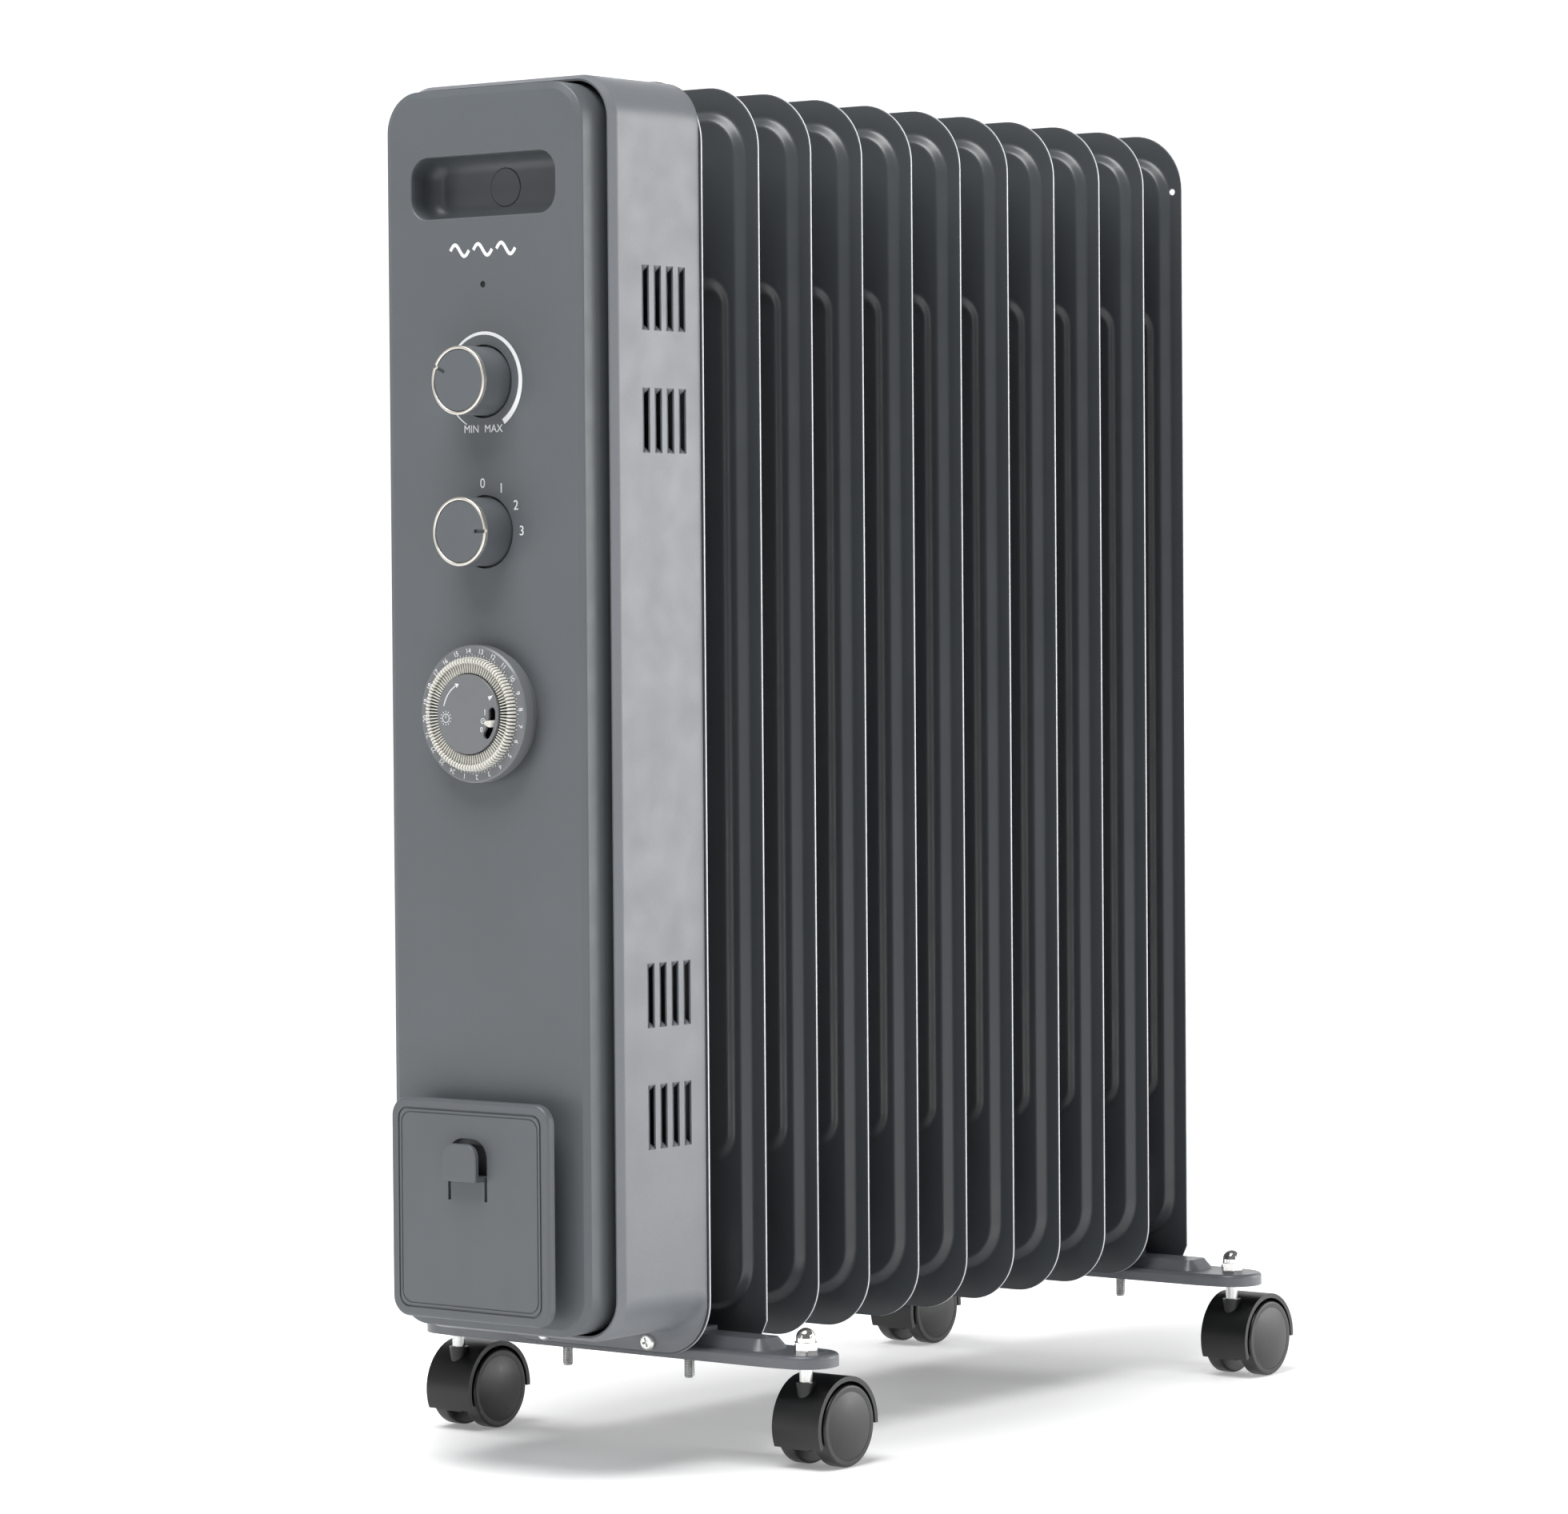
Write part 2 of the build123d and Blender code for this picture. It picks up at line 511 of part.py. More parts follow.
# ---------------------------------------------------------------- cord winding plate
def make_cord_plate():
    front, back = -PLATE_PROUD, PLATE_THICKNESS - PLATE_PROUD
    outline = panel(PLATE_HALF_WIDTH, *PLATE_Z, PLATE_CORNER)
    plate = prism(outline, front, back)
    plate = fillet(plate.edges().group_by(Axis.Y)[0], 1.6)
    for inset, width, depth in PLATE_GROOVES:
        inner = inset + width
        ring = panel(PLATE_HALF_WIDTH - inset, PLATE_Z[0] + inset, PLATE_Z[1] - inset, PLATE_GROOVE_CORNER)
        ring -= panel(PLATE_HALF_WIDTH - inner, PLATE_Z[0] + inner, PLATE_Z[1] - inner,
                      PLATE_GROOVE_CORNER - width)
        plate -= prism(ring, front - 1, front + depth)
    arch_low = HOOK_Z[0] + 2.2
    arch = Pos(HOOK_X, (arch_low + ARCH_TOP) / 2) * Rectangle(2 * ARCH_HALF_WIDTH, ARCH_TOP - arch_low)
    arch = fillet(arch.vertices().sort_by(Axis.Y)[2:], ARCH_HALF_WIDTH - 2.5)
    plate -= prism(arch, front - 1, back + 1)
    for side in (-1, 1):
        x = HOOK_X + side * (ARCH_HALF_WIDTH - SLOT_WIDTH / 2)
        slot = Pos(x, (SLOT_LOW + arch_low) / 2) * Rectangle(SLOT_WIDTH, arch_low - SLOT_LOW + 1)
        plate -= prism(slot, front - 1, back + 1)
    head = Pos(HOOK_X, sum(HOOK_Z) / 2) * Rectangle(2 * HOOK_HALF_WIDTH, HOOK_Z[1] - HOOK_Z[0])
    head = fillet(head.vertices().sort_by(Axis.Y)[2:], 6.0)
    head = fillet(head.vertices().sort_by(Axis.Y)[:2], 1.2)
    hook = prism(head, front - HOOK_PROUD, front - HOOK_PROUD + 2.2)
    hook = fillet(hook.edges().group_by(Axis.Y)[0], 0.6)
    half = ARCH_HALF_WIDTH - SLOT_WIDTH
    hook += block(half, front - HOOK_PROUD + 1, back, HOOK_Z[0], arch_low, HOOK_X)
    write("cord_plate", plate + hook)

    hub = panel(HUB_HALF_WIDTH, *HUB_Z, 8) - panel(HUB_HALF_WIDTH - 2.5, HUB_Z[0] + 2.5, HUB_Z[1] - 2.5, 5.5)
    write("cord_hub", prism(hub, back, 0))


# ---------------------------------------------------------------- parts inside the case
def make_inside():
    pan_front = FIN_BACK[0] - PAN_DEPTH
    cutout = rod(8, 0, 560, pan_front - 6, pan_front) + block(9, pan_front - 1.5, pan_front, 548, 572)
    write("thermal_cutout", cutout)
    strip = block(21, 40, 52, 148, 164)
    for x in (-14, 0, 14):
        strip -= upright(1.8, x, 46, 156, 165)
    write("terminal_block", strip)
    leads = []
    for x, top in ((-14, 405), (0, 470), (14, 470)):
        path = FilletPolyline((x, FACE_Y + 46, 156), (x, FACE_Y + 46, top), (x, FACE_Y + 34, top), radius=8)
        leads.append(sweep(Plane(origin=path @ 0, z_dir=path % 0) * Circle(1.5), path=path))
    write("wiring_leads", *leads)

    # tip-over switch: a frame on the flange side, and a weight that hangs on a pin across it
    x, z = -38.0, 170.0
    frame = block(11, 50, 64, z - 36, z, x) - block(9.4, 51.6, 62.4, z - 37, z - 1.6, x)
    frame += rod(1.2, x, z - 6, 50, 64)
    write("tip_switch_frame", frame)
    weight = rod(3.0, x, z - 6, 54, 60) + block(1.0, 55.5, 58.5, z - 22, z - 8, x) + rod(5.0, x, z - 25, 53, 61)
    weight -= rod(1.2 + RUNNING_GAP, x, z - 6, 50, 64)
    write("tip_switch_weight", weight)


# ---------------------------------------------------------------- feet
def foot_outline(shrink=0):
    middle = Rectangle(2 * FOOT_RISE_HALF[0] + 16, 2 * FOOT_HALF_DEPTH)
    ends = [Pos(side * STEM_X, 0) * Circle(FOOT_END_RADIUS) for side in (-1, 1)]
    outline = make_hull((middle + ends[0] + ends[1]).edges())
    return offset(outline, -shrink) if shrink else outline


def make_foot(name, back):
    place = Pos(0, FACE_Y + back, 0)
    shell = extrude(Pos(0, 0, FOOT_LOW) * foot_outline(), FOOT_TOP - FOOT_LOW)
    shell = fillet(shell.edges().group_by(Axis.Z)[-1], 1.8)
    rise = Rectangle(2 * FOOT_RISE_HALF[0] + 8, 2 * FOOT_RISE_HALF[1])
    rise = fillet(rise.vertices(), 8)
    shell += extrude(Pos(0, 0, FOOT_TOP - 1) * rise, FOOT_RISE + 1, taper=40)
    shell -= extrude(Pos(0, 0, FOOT_LOW - 1) * foot_outline(FOOT_SHEET), FOOT_TOP - FOOT_LOW - FOOT_SHEET + 1)
    under = offset(rise, -1.5)
    shell -= extrude(Pos(0, 0, FOOT_TOP - FOOT_SHEET - 1) * under, FOOT_RISE + 1, taper=40)
    for side in (-1, 1):
        shell -= Pos(side * STEM_X, 0, FOOT_TOP) * Cylinder(STEM_RADIUS + 0.1, 20)
        shell -= Pos(side * CLAMP_X, 0, FOOT_TOP) * Cylinder(CLAMP_RADIUS + 0.3, 20)
    write(f"{name}_foot", place * shell)


def make_saddles():
    """The two cradles that sit on the raised middles of the feet and carry the lower necks."""
    plateau = FOOT_TOP + FOOT_RISE
    neck_low = NECK_Z[0] - NECK_HEIGHT / 2
    saddles = []
    for back in FOOT_BACK.values():
        saddle = block(46, back - 9, back + 9, plateau, plateau + 2)
        for wall in (-9, 7):
            saddle += block(32, back + wall, back + wall + 2, plateau, neck_low + 12)
        saddle -= prism(neck_outline()[0], back - 12, back + 12)
        for side in (-1, 1):
            saddle -= upright(CLAMP_RADIUS + 0.3, side * CLAMP_X, back, plateau - 1, plateau + 3)
        saddles.append(saddle)
    write("foot_saddles", *saddles)


def make_clamps():
    """A bent clamp rod over each lower neck beside a foot, and the nuts that pull it down."""
    top = NECK_Z[0] + NECK_HEIGHT / 2 + CLAMP_RADIUS
    clamps, nuts = [], []
    for back in FOOT_BACK.values():
        y = FACE_Y + back
        path = FilletPolyline((-CLAMP_X, y, CLAMP_LOW), (-CLAMP_X, y, top), (CLAMP_X, y, top),
                              (CLAMP_X, y, CLAMP_LOW), radius=15)
        clamps.append(sweep(Plane(origin=path @ 0, z_dir=path % 0) * Circle(CLAMP_RADIUS), path=path))
        for side in (-1, 1):
            high = FOOT_TOP + FOOT_RISE - FOOT_SHEET
            nut = extrude(Pos(side * CLAMP_X, y, high - 4) * RegularPolygon(4.6, 6), 4)
            nuts.append(nut - upright(CLAMP_RADIUS, side * CLAMP_X, back, 30, 70))
    write("clamp_rods", *clamps)
    write("clamp_nuts", *nuts)


def make_stems():
    stems, nuts = [], []
    for back in FOOT_BACK.values():
        for side in (-1, 1):
            x = side * STEM_X
            stem = upright(STEM_RADIUS, x, back, 13, FOOT_TOP + 7)
            stem += upright(4.4, x, back, FOOT_TOP - FOOT_SHEET - 2.5, FOOT_TOP - FOOT_SHEET)
            stems.append(stem)
            nut = extrude(Pos(x, FACE_Y + back, FOOT_TOP) * Rot(0, 0, 12) * RegularPolygon(5.8, 6), 4.6)
            nut &= Pos(x, FACE_Y + back, FOOT_TOP + 2.3) * Cylinder(5.6, 4.6)
            nut += upright(4.5, x, back, FOOT_TOP + 4.6, FOOT_TOP + 6.6)
            nut += Pos(x, FACE_Y + back, FOOT_TOP + 6.6) * Sphere(4.5)
            nut -= upright(STEM_RADIUS, x, back, FOOT_TOP - 6, FOOT_TOP + 7)
            nuts.append(nut)
    write("caster_stems", *stems)
    write("cap_nuts", *nuts)


# ---------------------------------------------------------------- casters
def across(outline, low, high):
    """Stretch an outline drawn in Y and Z, about the axle, along X."""
    return extrude(Plane.YZ.offset(low) * outline, high - low)


def make_hood():
    """A caster hood with its axle at X = Y = 0: arched cover, middle web, stem socket, and the axle."""
    arch = Circle(HOOD_OUTER) - Circle(HOOD_INNER)
    below = Polygon((0, 0), (-60, -26), (-60, -80), (60, -80), (60, -1), (0, -1), align=None)
    cover = across(arch - below, -HOOD_HALF_WIDTH, HOOD_HALF_WIDTH)
    web = across(Circle(HOOD_INNER + 0.3) - Pos(0, -20) * Rectangle(60, 20), -HOOD_WEB, HOOD_WEB)
    hood = cover + web
    height = SOCKET_TOP - WHEEL_RADIUS
    hood += Pos(0, -TRAIL, height - 7) * Cone(3.2, 4.6, 14)
    bore = STEM_RADIUS + RUNNING_GAP
    hood -= Pos(0, -TRAIL, 12 - WHEEL_RADIUS + 20) * Cylinder(bore, 40)
    hood -= across(Circle(AXLE_RADIUS), -20, 20)
    axle = across(Circle(AXLE_RADIUS), -WHEEL_OUTER + 0.7, WHEEL_OUTER - 0.7)
    return hood, axle


def make_wheel(side):
    """One wheel about its axle: the tread ring with its hub, and the domed cap pressed into it."""
    wheel = across(Circle(WHEEL_RADIUS), WHEEL_INNER, WHEEL_OUTER)
    wheel = fillet(wheel.edges().filter_by(GeomType.CIRCLE), 1.2)
    wheel -= across(Circle(WHEEL_CAP_RADIUS), WHEEL_OUTER - 1, WHEEL_OUTER + 1)
    wheel -= across(Circle(AXLE_RADIUS + RUNNING_GAP), 0, WHEEL_OUTER - 0.6)
    bulge = 90.0
    cap = across(Circle(WHEEL_CAP_RADIUS - 0.1), WHEEL_OUTER - 0.5, WHEEL_OUTER + 3)
    cap &= Pos(WHEEL_OUTER + 1.3 - bulge, 0, 0) * Sphere(bulge)
    wheel -= across(Circle(WHEEL_CAP_RADIUS), WHEEL_OUTER - 0.5, WHEEL_OUTER + 1)
    if side < 0:
        wheel, cap = mirror(wheel, about=Plane.YZ), mirror(cap, about=Plane.YZ)
    return wheel, cap


def make_casters():
    hood, axle = make_hood()
    wheels = {"left": make_wheel(-1), "right": make_wheel(1)}
    for end, back in FOOT_BACK.items():
        for hand, side in (("left", -1), ("right", 1)):
            place = Pos(side * STEM_X, FACE_Y + back + TRAIL, WHEEL_RADIUS)
            corner = f"{end}_{hand}"
            write(f"caster_hood_{corner}", place * hood, place * axle)
            for face, pieces in wheels.items():
                write(f"wheel_{corner}_{face}", *[place * piece for piece in pieces])


make_fins()
make_heating()
make_cover()
make_case()
make_grip()
make_indicator()
make_knob("thermostat", THERMOSTAT_Z, THERMOSTAT_POINTER)
make_knob("selector", SELECTOR_Z, SELECTOR_POINTER)
make_switch_body("thermostat", THERMOSTAT_Z, 30, 20)
make_switch_body("selector", SELECTOR_Z, 26, 18)
make_bracket()
make_timer()
make_cord_plate()
make_inside()
for foot_name, foot_back in FOOT_BACK.items():
    make_foot(foot_name, foot_back)
make_saddles()
make_clamps()
make_stems()
make_casters()
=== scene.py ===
"""Looks for the oil filled radiator heater: finish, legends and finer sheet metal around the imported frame.

Everything is in metres in the frame's own axes: +Z up, -Y out of the control panel, +X to the right of
someone facing it. Sizes of the heater's pieces are written in millimetres and scaled once by MM. "back" is
a distance back from the cover's front face, so it is negative in front of that face.
"""
from math import atan2, cos, hypot, radians, sin, tau

import bmesh
import bpy
from mathutils import Matrix, Vector


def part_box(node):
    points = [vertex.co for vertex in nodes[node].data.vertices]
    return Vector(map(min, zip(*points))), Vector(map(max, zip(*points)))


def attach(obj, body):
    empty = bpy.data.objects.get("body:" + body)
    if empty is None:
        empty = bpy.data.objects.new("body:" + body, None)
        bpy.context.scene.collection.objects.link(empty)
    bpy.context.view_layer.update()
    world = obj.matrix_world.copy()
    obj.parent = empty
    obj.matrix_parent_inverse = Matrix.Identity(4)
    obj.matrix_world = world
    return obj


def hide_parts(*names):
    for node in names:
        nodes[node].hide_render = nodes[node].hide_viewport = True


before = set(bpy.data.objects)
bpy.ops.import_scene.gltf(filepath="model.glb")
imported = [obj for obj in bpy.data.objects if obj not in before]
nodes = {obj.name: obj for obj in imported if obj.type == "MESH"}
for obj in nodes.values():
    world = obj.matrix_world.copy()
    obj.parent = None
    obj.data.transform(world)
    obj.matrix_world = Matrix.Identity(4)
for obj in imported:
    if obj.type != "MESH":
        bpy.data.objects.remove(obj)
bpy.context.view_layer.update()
MM = 0.001

FACE_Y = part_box("front_cover")[0][1] / MM          # the cover's front face
FINS = sorted(name for name in nodes if name.startswith("fin_"))


def middle(node):
    """The centre of a CAD node's box, in millimetres."""
    low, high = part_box(node)
    return [(a + b) / 2 / MM for a, b in zip(low, high)]


def put(obj):
    """Put a new object in the scene."""
    bpy.context.scene.collection.objects.link(obj)
    return obj


THERMOSTAT_Z = middle("thermostat_knob_ring")[2]
SELECTOR_Z = middle("selector_knob_ring")[2]
TIMER_Z = middle("timer_dial")[2]


# ---------------------------------------------------------------- materials
class Nodes:
    """A material's node tree, with one short call for each kind of node the finishes use."""

    def __init__(self, name):
        self.material = bpy.data.materials.new(name)
        self.material.use_nodes = True
        self.tree = self.material.node_tree
        self.tree.nodes.clear()
        self.output = self.add("ShaderNodeOutputMaterial")
        self.shader = self.add("ShaderNodeBsdfPrincipled")
        self.link(self.shader.outputs["BSDF"], self.output.inputs["Surface"])
        self.place = self.add("ShaderNodeTexCoord").outputs["Object"]

    def add(self, kind, **settings):
        """A new node of that kind, with its settings."""
        node = self.tree.nodes.new(kind)
        for key, value in settings.items():
            setattr(node, key, value)
        return node

    def link(self, source, target):
        """Join an output to an input."""
        self.tree.links.new(source, target)

    def noise(self, scale, detail=2.0, rough=0.5, stretch=None):
        """Noise in the object's own metres, so a scale of 1000 makes millimetre features."""
        node = self.add("ShaderNodeTexNoise")
        node.inputs["Scale"].default_value = scale
        node.inputs["Detail"].default_value = detail
        node.inputs["Roughness"].default_value = rough
        source = self.place
        if stretch:
            mapping = self.add("ShaderNodeMapping")
            mapping.inputs["Scale"].default_value = stretch
            self.link(source, mapping.inputs["Vector"])
            source = mapping.outputs["Vector"]
        self.link(source, node.inputs["Vector"])
        return node.outputs["Fac"]

    def span(self, source, low, high, start=0.3, end=0.7):
        """Map a noise value from start..end onto low..high."""
        node = self.add("ShaderNodeMapRange")
        for key, value in (("From Min", start), ("From Max", end), ("To Min", low), ("To Max", high)):
            node.inputs[key].default_value = value
        self.link(source, node.inputs["Value"])
        return node.outputs["Result"]

    def ramp(self, source, stops):
        """Colour from a value, through (place, colour) stops."""
        node = self.add("ShaderNodeValToRGB")
        elements = node.color_ramp.elements
        while len(elements) < len(stops):
            elements.new(0.5)
        for element, (place, colour) in zip(elements, stops):
            element.position = place
            element.color = (*colour, 1)
        self.link(source, node.inputs["Fac"])
        return node.outputs["Color"]

    def mix(self, factor, first, second):
        """Two colours mixed by a constant factor."""
        node = self.add("ShaderNodeMix", data_type="RGBA")
        node.inputs["Factor"].default_value = factor
        self.link(first, node.inputs["A"])
        self.link(second, node.inputs["B"])
        return node.outputs["Result"]

    def bump(self, layers):
        """Stack (height, distance in millimetres, strength) layers into one normal."""
        normal = None
        for height, distance, strength in layers:
            node = self.add("ShaderNodeBump")
            node.inputs["Distance"].default_value = distance * MM
            node.inputs["Strength"].default_value = strength
            self.link(height, node.inputs["Height"])
            if normal:
                self.link(normal, node.inputs["Normal"])
            normal = node.outputs["Normal"]
        self.link(normal, self.shader.inputs["Normal"])

    def set(self, **values):
        """Constant values straight on the shader's sockets."""
        for key, value in values.items():
            self.shader.inputs[key.replace("_", " ")].default_value = value


def shade(colour, factor):
    """A colour made darker, or lighter where factor is over 1."""
    return tuple(min(1.0, channel * factor) for channel in colour)


def powder_coat(name, colour, rough, wave=0.25, peel=0.22):
    """Satin powder coat on pressed sheet: orange peel, uneven gloss and the sheet's slow waviness."""
    n = Nodes(name)
    cloud = n.noise(14, 3)
    speck = n.noise(2600, 2)
    base = n.ramp(cloud, ((0.3, shade(colour, 0.92)), (0.7, shade(colour, 1.07))))
    fleck = n.ramp(speck, ((0.35, shade(colour, 0.82)), (0.65, shade(colour, 1.16))))
    n.link(n.mix(0.35, base, fleck), n.shader.inputs["Base Color"])
    n.link(n.span(n.noise(60, 4), rough - 0.05, rough + 0.07), n.shader.inputs["Roughness"])
    n.bump(((n.noise(6, 1), 1.2, wave), (n.noise(700, 2), 0.05, peel), (speck, 0.012, 0.25)))
    n.set(Specular_IOR_Level=0.5, Coat_Weight=0.12, Coat_Roughness=0.28)
    return n.material


def moulded(name, colour, rough, grain=0.25, grain_scale=1800, coat=0.0, sink=0.08):
    """Injection moulded plastic: spark-eroded grain, faint sink marks and uneven gloss."""
    n = Nodes(name)
    cloud = n.noise(18, 3)
    fine = n.noise(grain_scale, 3, 0.6)
    base = n.ramp(cloud, ((0.3, shade(colour, 0.95)), (0.7, shade(colour, 1.05))))
    dots = n.ramp(fine, ((0.3, shade(colour, 0.88)), (0.7, shade(colour, 1.1))))
    n.link(n.mix(0.3, base, dots), n.shader.inputs["Base Color"])
    n.link(n.span(n.noise(90, 4), rough - 0.04, rough + 0.06), n.shader.inputs["Roughness"])
    n.bump(((n.noise(9, 1), 0.6, sink), (fine, 0.02, grain)))
    n.set(Specular_IOR_Level=0.5, Coat_Weight=coat, Coat_Roughness=0.15)
    return n.material


def plated(name, colour, rough, streak=(1, 1, 1), streak_scale=900, scratch=0.15, tint=None):
    """Plated metal: cloudy plating, fine drawn or turned lines and slightly uneven gloss."""
    n = Nodes(name)
    cloud = n.noise(160, 3)
    lines = n.noise(streak_scale, 3, 0.6, stretch=streak)
    other = tint or shade(colour, 0.86)
    n.link(n.ramp(cloud, ((0.32, other), (0.62, colour))), n.shader.inputs["Base Color"])
    n.link(n.span(lines, max(0.02, rough - 0.06), rough + 0.1), n.shader.inputs["Roughness"])
    n.bump(((lines, 0.02, scratch), (cloud, 0.03, 0.1)))
    n.set(Metallic=1.0)
    return n.material


def printed(name, colour):
    """Pad-printed ink: nearly even, with a dry, slightly broken surface."""
    n = Nodes(name)
    grain = n.noise(4000, 3)
    n.link(n.ramp(grain, ((0.25, shade(colour, 0.86)), (0.6, colour))), n.shader.inputs["Base Color"])
    n.link(n.span(grain, 0.38, 0.55), n.shader.inputs["Roughness"])
    n.bump(((grain, 0.01, 0.3),))
    return n.material


# The fins share the case's paint, but their grey is set much darker: painted shade for the narrow gaps
# between the fins.
FIN_GREY_WITH_PAINTED_SHADE = (0.055, 0.061, 0.067)
CASE_GREY = (0.150, 0.160, 0.174)
COVER_GREY = (0.093, 0.103, 0.112)
DIAL_GREY = (0.145, 0.152, 0.160)
FOOT_GREY = (0.105, 0.112, 0.124)

fin_paint = powder_coat("fin_paint", FIN_GREY_WITH_PAINTED_SHADE, 0.34, wave=0.12)
# The welded rims' light grey is a painted highlight, far lighter than the fins' own paint.
fin_rim_highlight = powder_coat("fin_rim_painted_highlight", (0.66, 0.68, 0.70), 0.25, wave=0.0, peel=0.1)
case_paint = powder_coat("case_paint", CASE_GREY, 0.38, wave=0.03, peel=0.1)
foot_paint = powder_coat("foot_paint", FOOT_GREY, 0.32, wave=0.3)
cover_plastic = moulded("cover_plastic", COVER_GREY, 0.42)
# A darker copy of the cover's plastic for the grip pocket and its plug: painted shade inside the recess.
pocket_painted_shade = moulded("pocket_painted_shade", shade(COVER_GREY, 0.78), 0.4)
knob_plastic = moulded("knob_plastic", shade(COVER_GREY, 1.05), 0.36, grain=0.18)
dial_plastic = moulded("dial_plastic", DIAL_GREY, 0.34, grain=0.15)
inside_plastic = moulded("inside_plastic", (0.03, 0.03, 0.032), 0.5)
nylon = moulded("nylon", (0.72, 0.69, 0.6), 0.35, grain=0.1)
white_plastic = moulded("white_plastic", (0.62, 0.61, 0.56), 0.3, grain=0.08, coat=0.1)
black_plastic = moulded("black_plastic", (0.0060, 0.0061, 0.0065), 0.36, grain=0.3, grain_scale=1500)
wheel_plastic = moulded("wheel_plastic", (0.0060, 0.0062, 0.0066), 0.30, grain=0.2, grain_scale=1500)
dark_hole = moulded("dark_hole", (0.004, 0.004, 0.004), 0.6)
champagne = plated("champagne", (0.78, 0.75, 0.69), 0.34, streak_scale=300, scratch=0.0,
                   tint=(0.75, 0.72, 0.65))
chrome = plated("chrome", (0.86, 0.85, 0.83), 0.06, scratch=0.03, tint=(0.78, 0.77, 0.74))
zinc = plated("zinc", (0.70, 0.71, 0.71), 0.26, streak=(1, 1, 0.1), tint=(0.60, 0.60, 0.57))
screw_zinc = plated("screw_zinc", (0.74, 0.74, 0.73), 0.24, tint=(0.62, 0.62, 0.60))
dull_steel = plated("dull_steel", (0.34, 0.33, 0.31), 0.45)
brass = plated("brass", (0.72, 0.55, 0.26), 0.28)
fibre = moulded("gasket_fibre", (0.07, 0.08, 0.07), 0.8, grain=0.6, grain_scale=900)
sleeving = moulded("sleeving", (0.12, 0.07, 0.035), 0.5)
white_ink = printed("white_ink", (0.74, 0.75, 0.76))


# ---------------------------------------------------------------- mesh helpers
def piece(name, body, slot, points, faces, materials, faces_of=None, sharp=32.0, weighted=True):
    """A finished mesh piece from points in millimetres.

    faces_of maps a face number to a material number. sharp is the angle in degrees from which an edge stays
    crisp, and 0 leaves the edges alone.
    """
    mesh = bpy.data.meshes.new(name)
    mesh.from_pydata([Vector(p) * MM for p in points], [], faces)
    for material in materials:
        mesh.materials.append(material)
    if faces_of:
        for index, choice in faces_of.items():
            mesh.polygons[index].material_index = choice
    work = bmesh.new()
    work.from_mesh(mesh)
    bmesh.ops.recalc_face_normals(work, faces=work.faces)
    work.to_mesh(mesh)
    work.free()
    mesh.polygons.foreach_set("use_smooth", [True] * len(mesh.polygons))
    obj = put(bpy.data.objects.new(name, mesh))
    if sharp:
        split = obj.modifiers.new("sharp edges", "EDGE_SPLIT")
        split.split_angle = radians(sharp)
        split.use_edge_sharp = False
    if weighted:
        normals = obj.modifiers.new("even shading", "WEIGHTED_NORMAL")
        normals.keep_sharp = True
    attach(obj, body)
    return obj


class Shell:
    """Points and faces gathered from lofts, for one piece."""

    def __init__(self):
        self.points = []
        self.faces = []
        self.material_of = {}

    def loft(self, loops, cap_first=False, cap_last=False, closed=True, material=0, skip=None):
        """Join loops of equally many points with quads. skip(row, column) leaves a quad out."""
        start = len(self.points)
        count = len(loops[0])
        for loop in loops:
            self.points.extend(loop)
        for row in range(len(loops) - 1):
            for column in range(count if closed else count - 1):
                if skip and skip(row, column):
                    continue
                after = (column + 1) % count
                a = start + row * count
                self.add((a + column, a + after, a + count + after, a + count + column), material)
        if cap_first:
            self.add(tuple(range(start, start + count)), material)
        if cap_last:
            last = start + (len(loops) - 1) * count
            self.add(tuple(range(last, last + count)), material)

    def add(self, face, material=0):
        """One face, as numbers of points."""
        if material:
            self.material_of[len(self.faces)] = material
        self.faces.append(face)

    def build(self, name, body, slot, *materials, **options):
        """The finished piece."""
        return piece(name, body, slot, self.points, self.faces, materials, self.material_of, **options)


def outline(half_width, low, high, top_radius, low_radius, steps=14, cut=None, levels=()):
    """A rounded upright rectangle as (x, z) points, anticlockwise seen from the front.

    cut, as widths across and up, replaces the lower corners' arcs by straight lines. levels adds points at
    those heights on both upright sides.
    """
    points = []
    corners = ((1, -1, low_radius), (1, 1, top_radius), (-1, 1, top_radius), (-1, -1, low_radius))
    for number, (sx, sz, radius) in enumerate(corners):
        centre = (sx * (half_width - radius), (high - radius) if sz > 0 else (low + radius))
        start = -90 + 90 * number
        for step in range(steps + 1):
            share = step / steps
            angle = radians(start + 90 * share)
            x, z = centre[0] + radius * cos(angle), centre[1] + radius * sin(angle)
            if cut and sz < 0:
                along = share if sx > 0 else 1 - share
                x, z = sx * (half_width - cut[0] * (1 - along)), low + cut[1] * along
            points.append((x, z))
        if number == 0:
            points.extend((half_width, level) for level in levels)
        if number == 2:
            points.extend((-half_width, level) for level in reversed(levels))
    return points


def at(points, back):
    """(x, z) points as 3-D points at a distance back from the cover's face."""
    return [(x, FACE_Y + back, z) for x, z in points]


def circle(radius, count, x=0.0, z=0.0):
    """(x, z) points evenly round a centre."""
    return [(x + radius * cos(tau * i / count), z + radius * sin(tau * i / count)) for i in range(count)]


# ---------------------------------------------------------------- fins
RIM = 0.7                    # half the thickness of the welded border
PAN = 4.4                    # how far the oil channel stands out from the seam
# Each edge is a half width, a lowest and a highest z, and the upper and lower corners' radii.
PAN_EDGE = (58.5, 65.0, 618.0, 21.0, 23.0)
WEB_EDGE = (48.6, 136.4, 540.6, 11.6, 11.6)
BORDER_EDGE = (65.7, 49.5, 629.5, 29.0, 26.0)
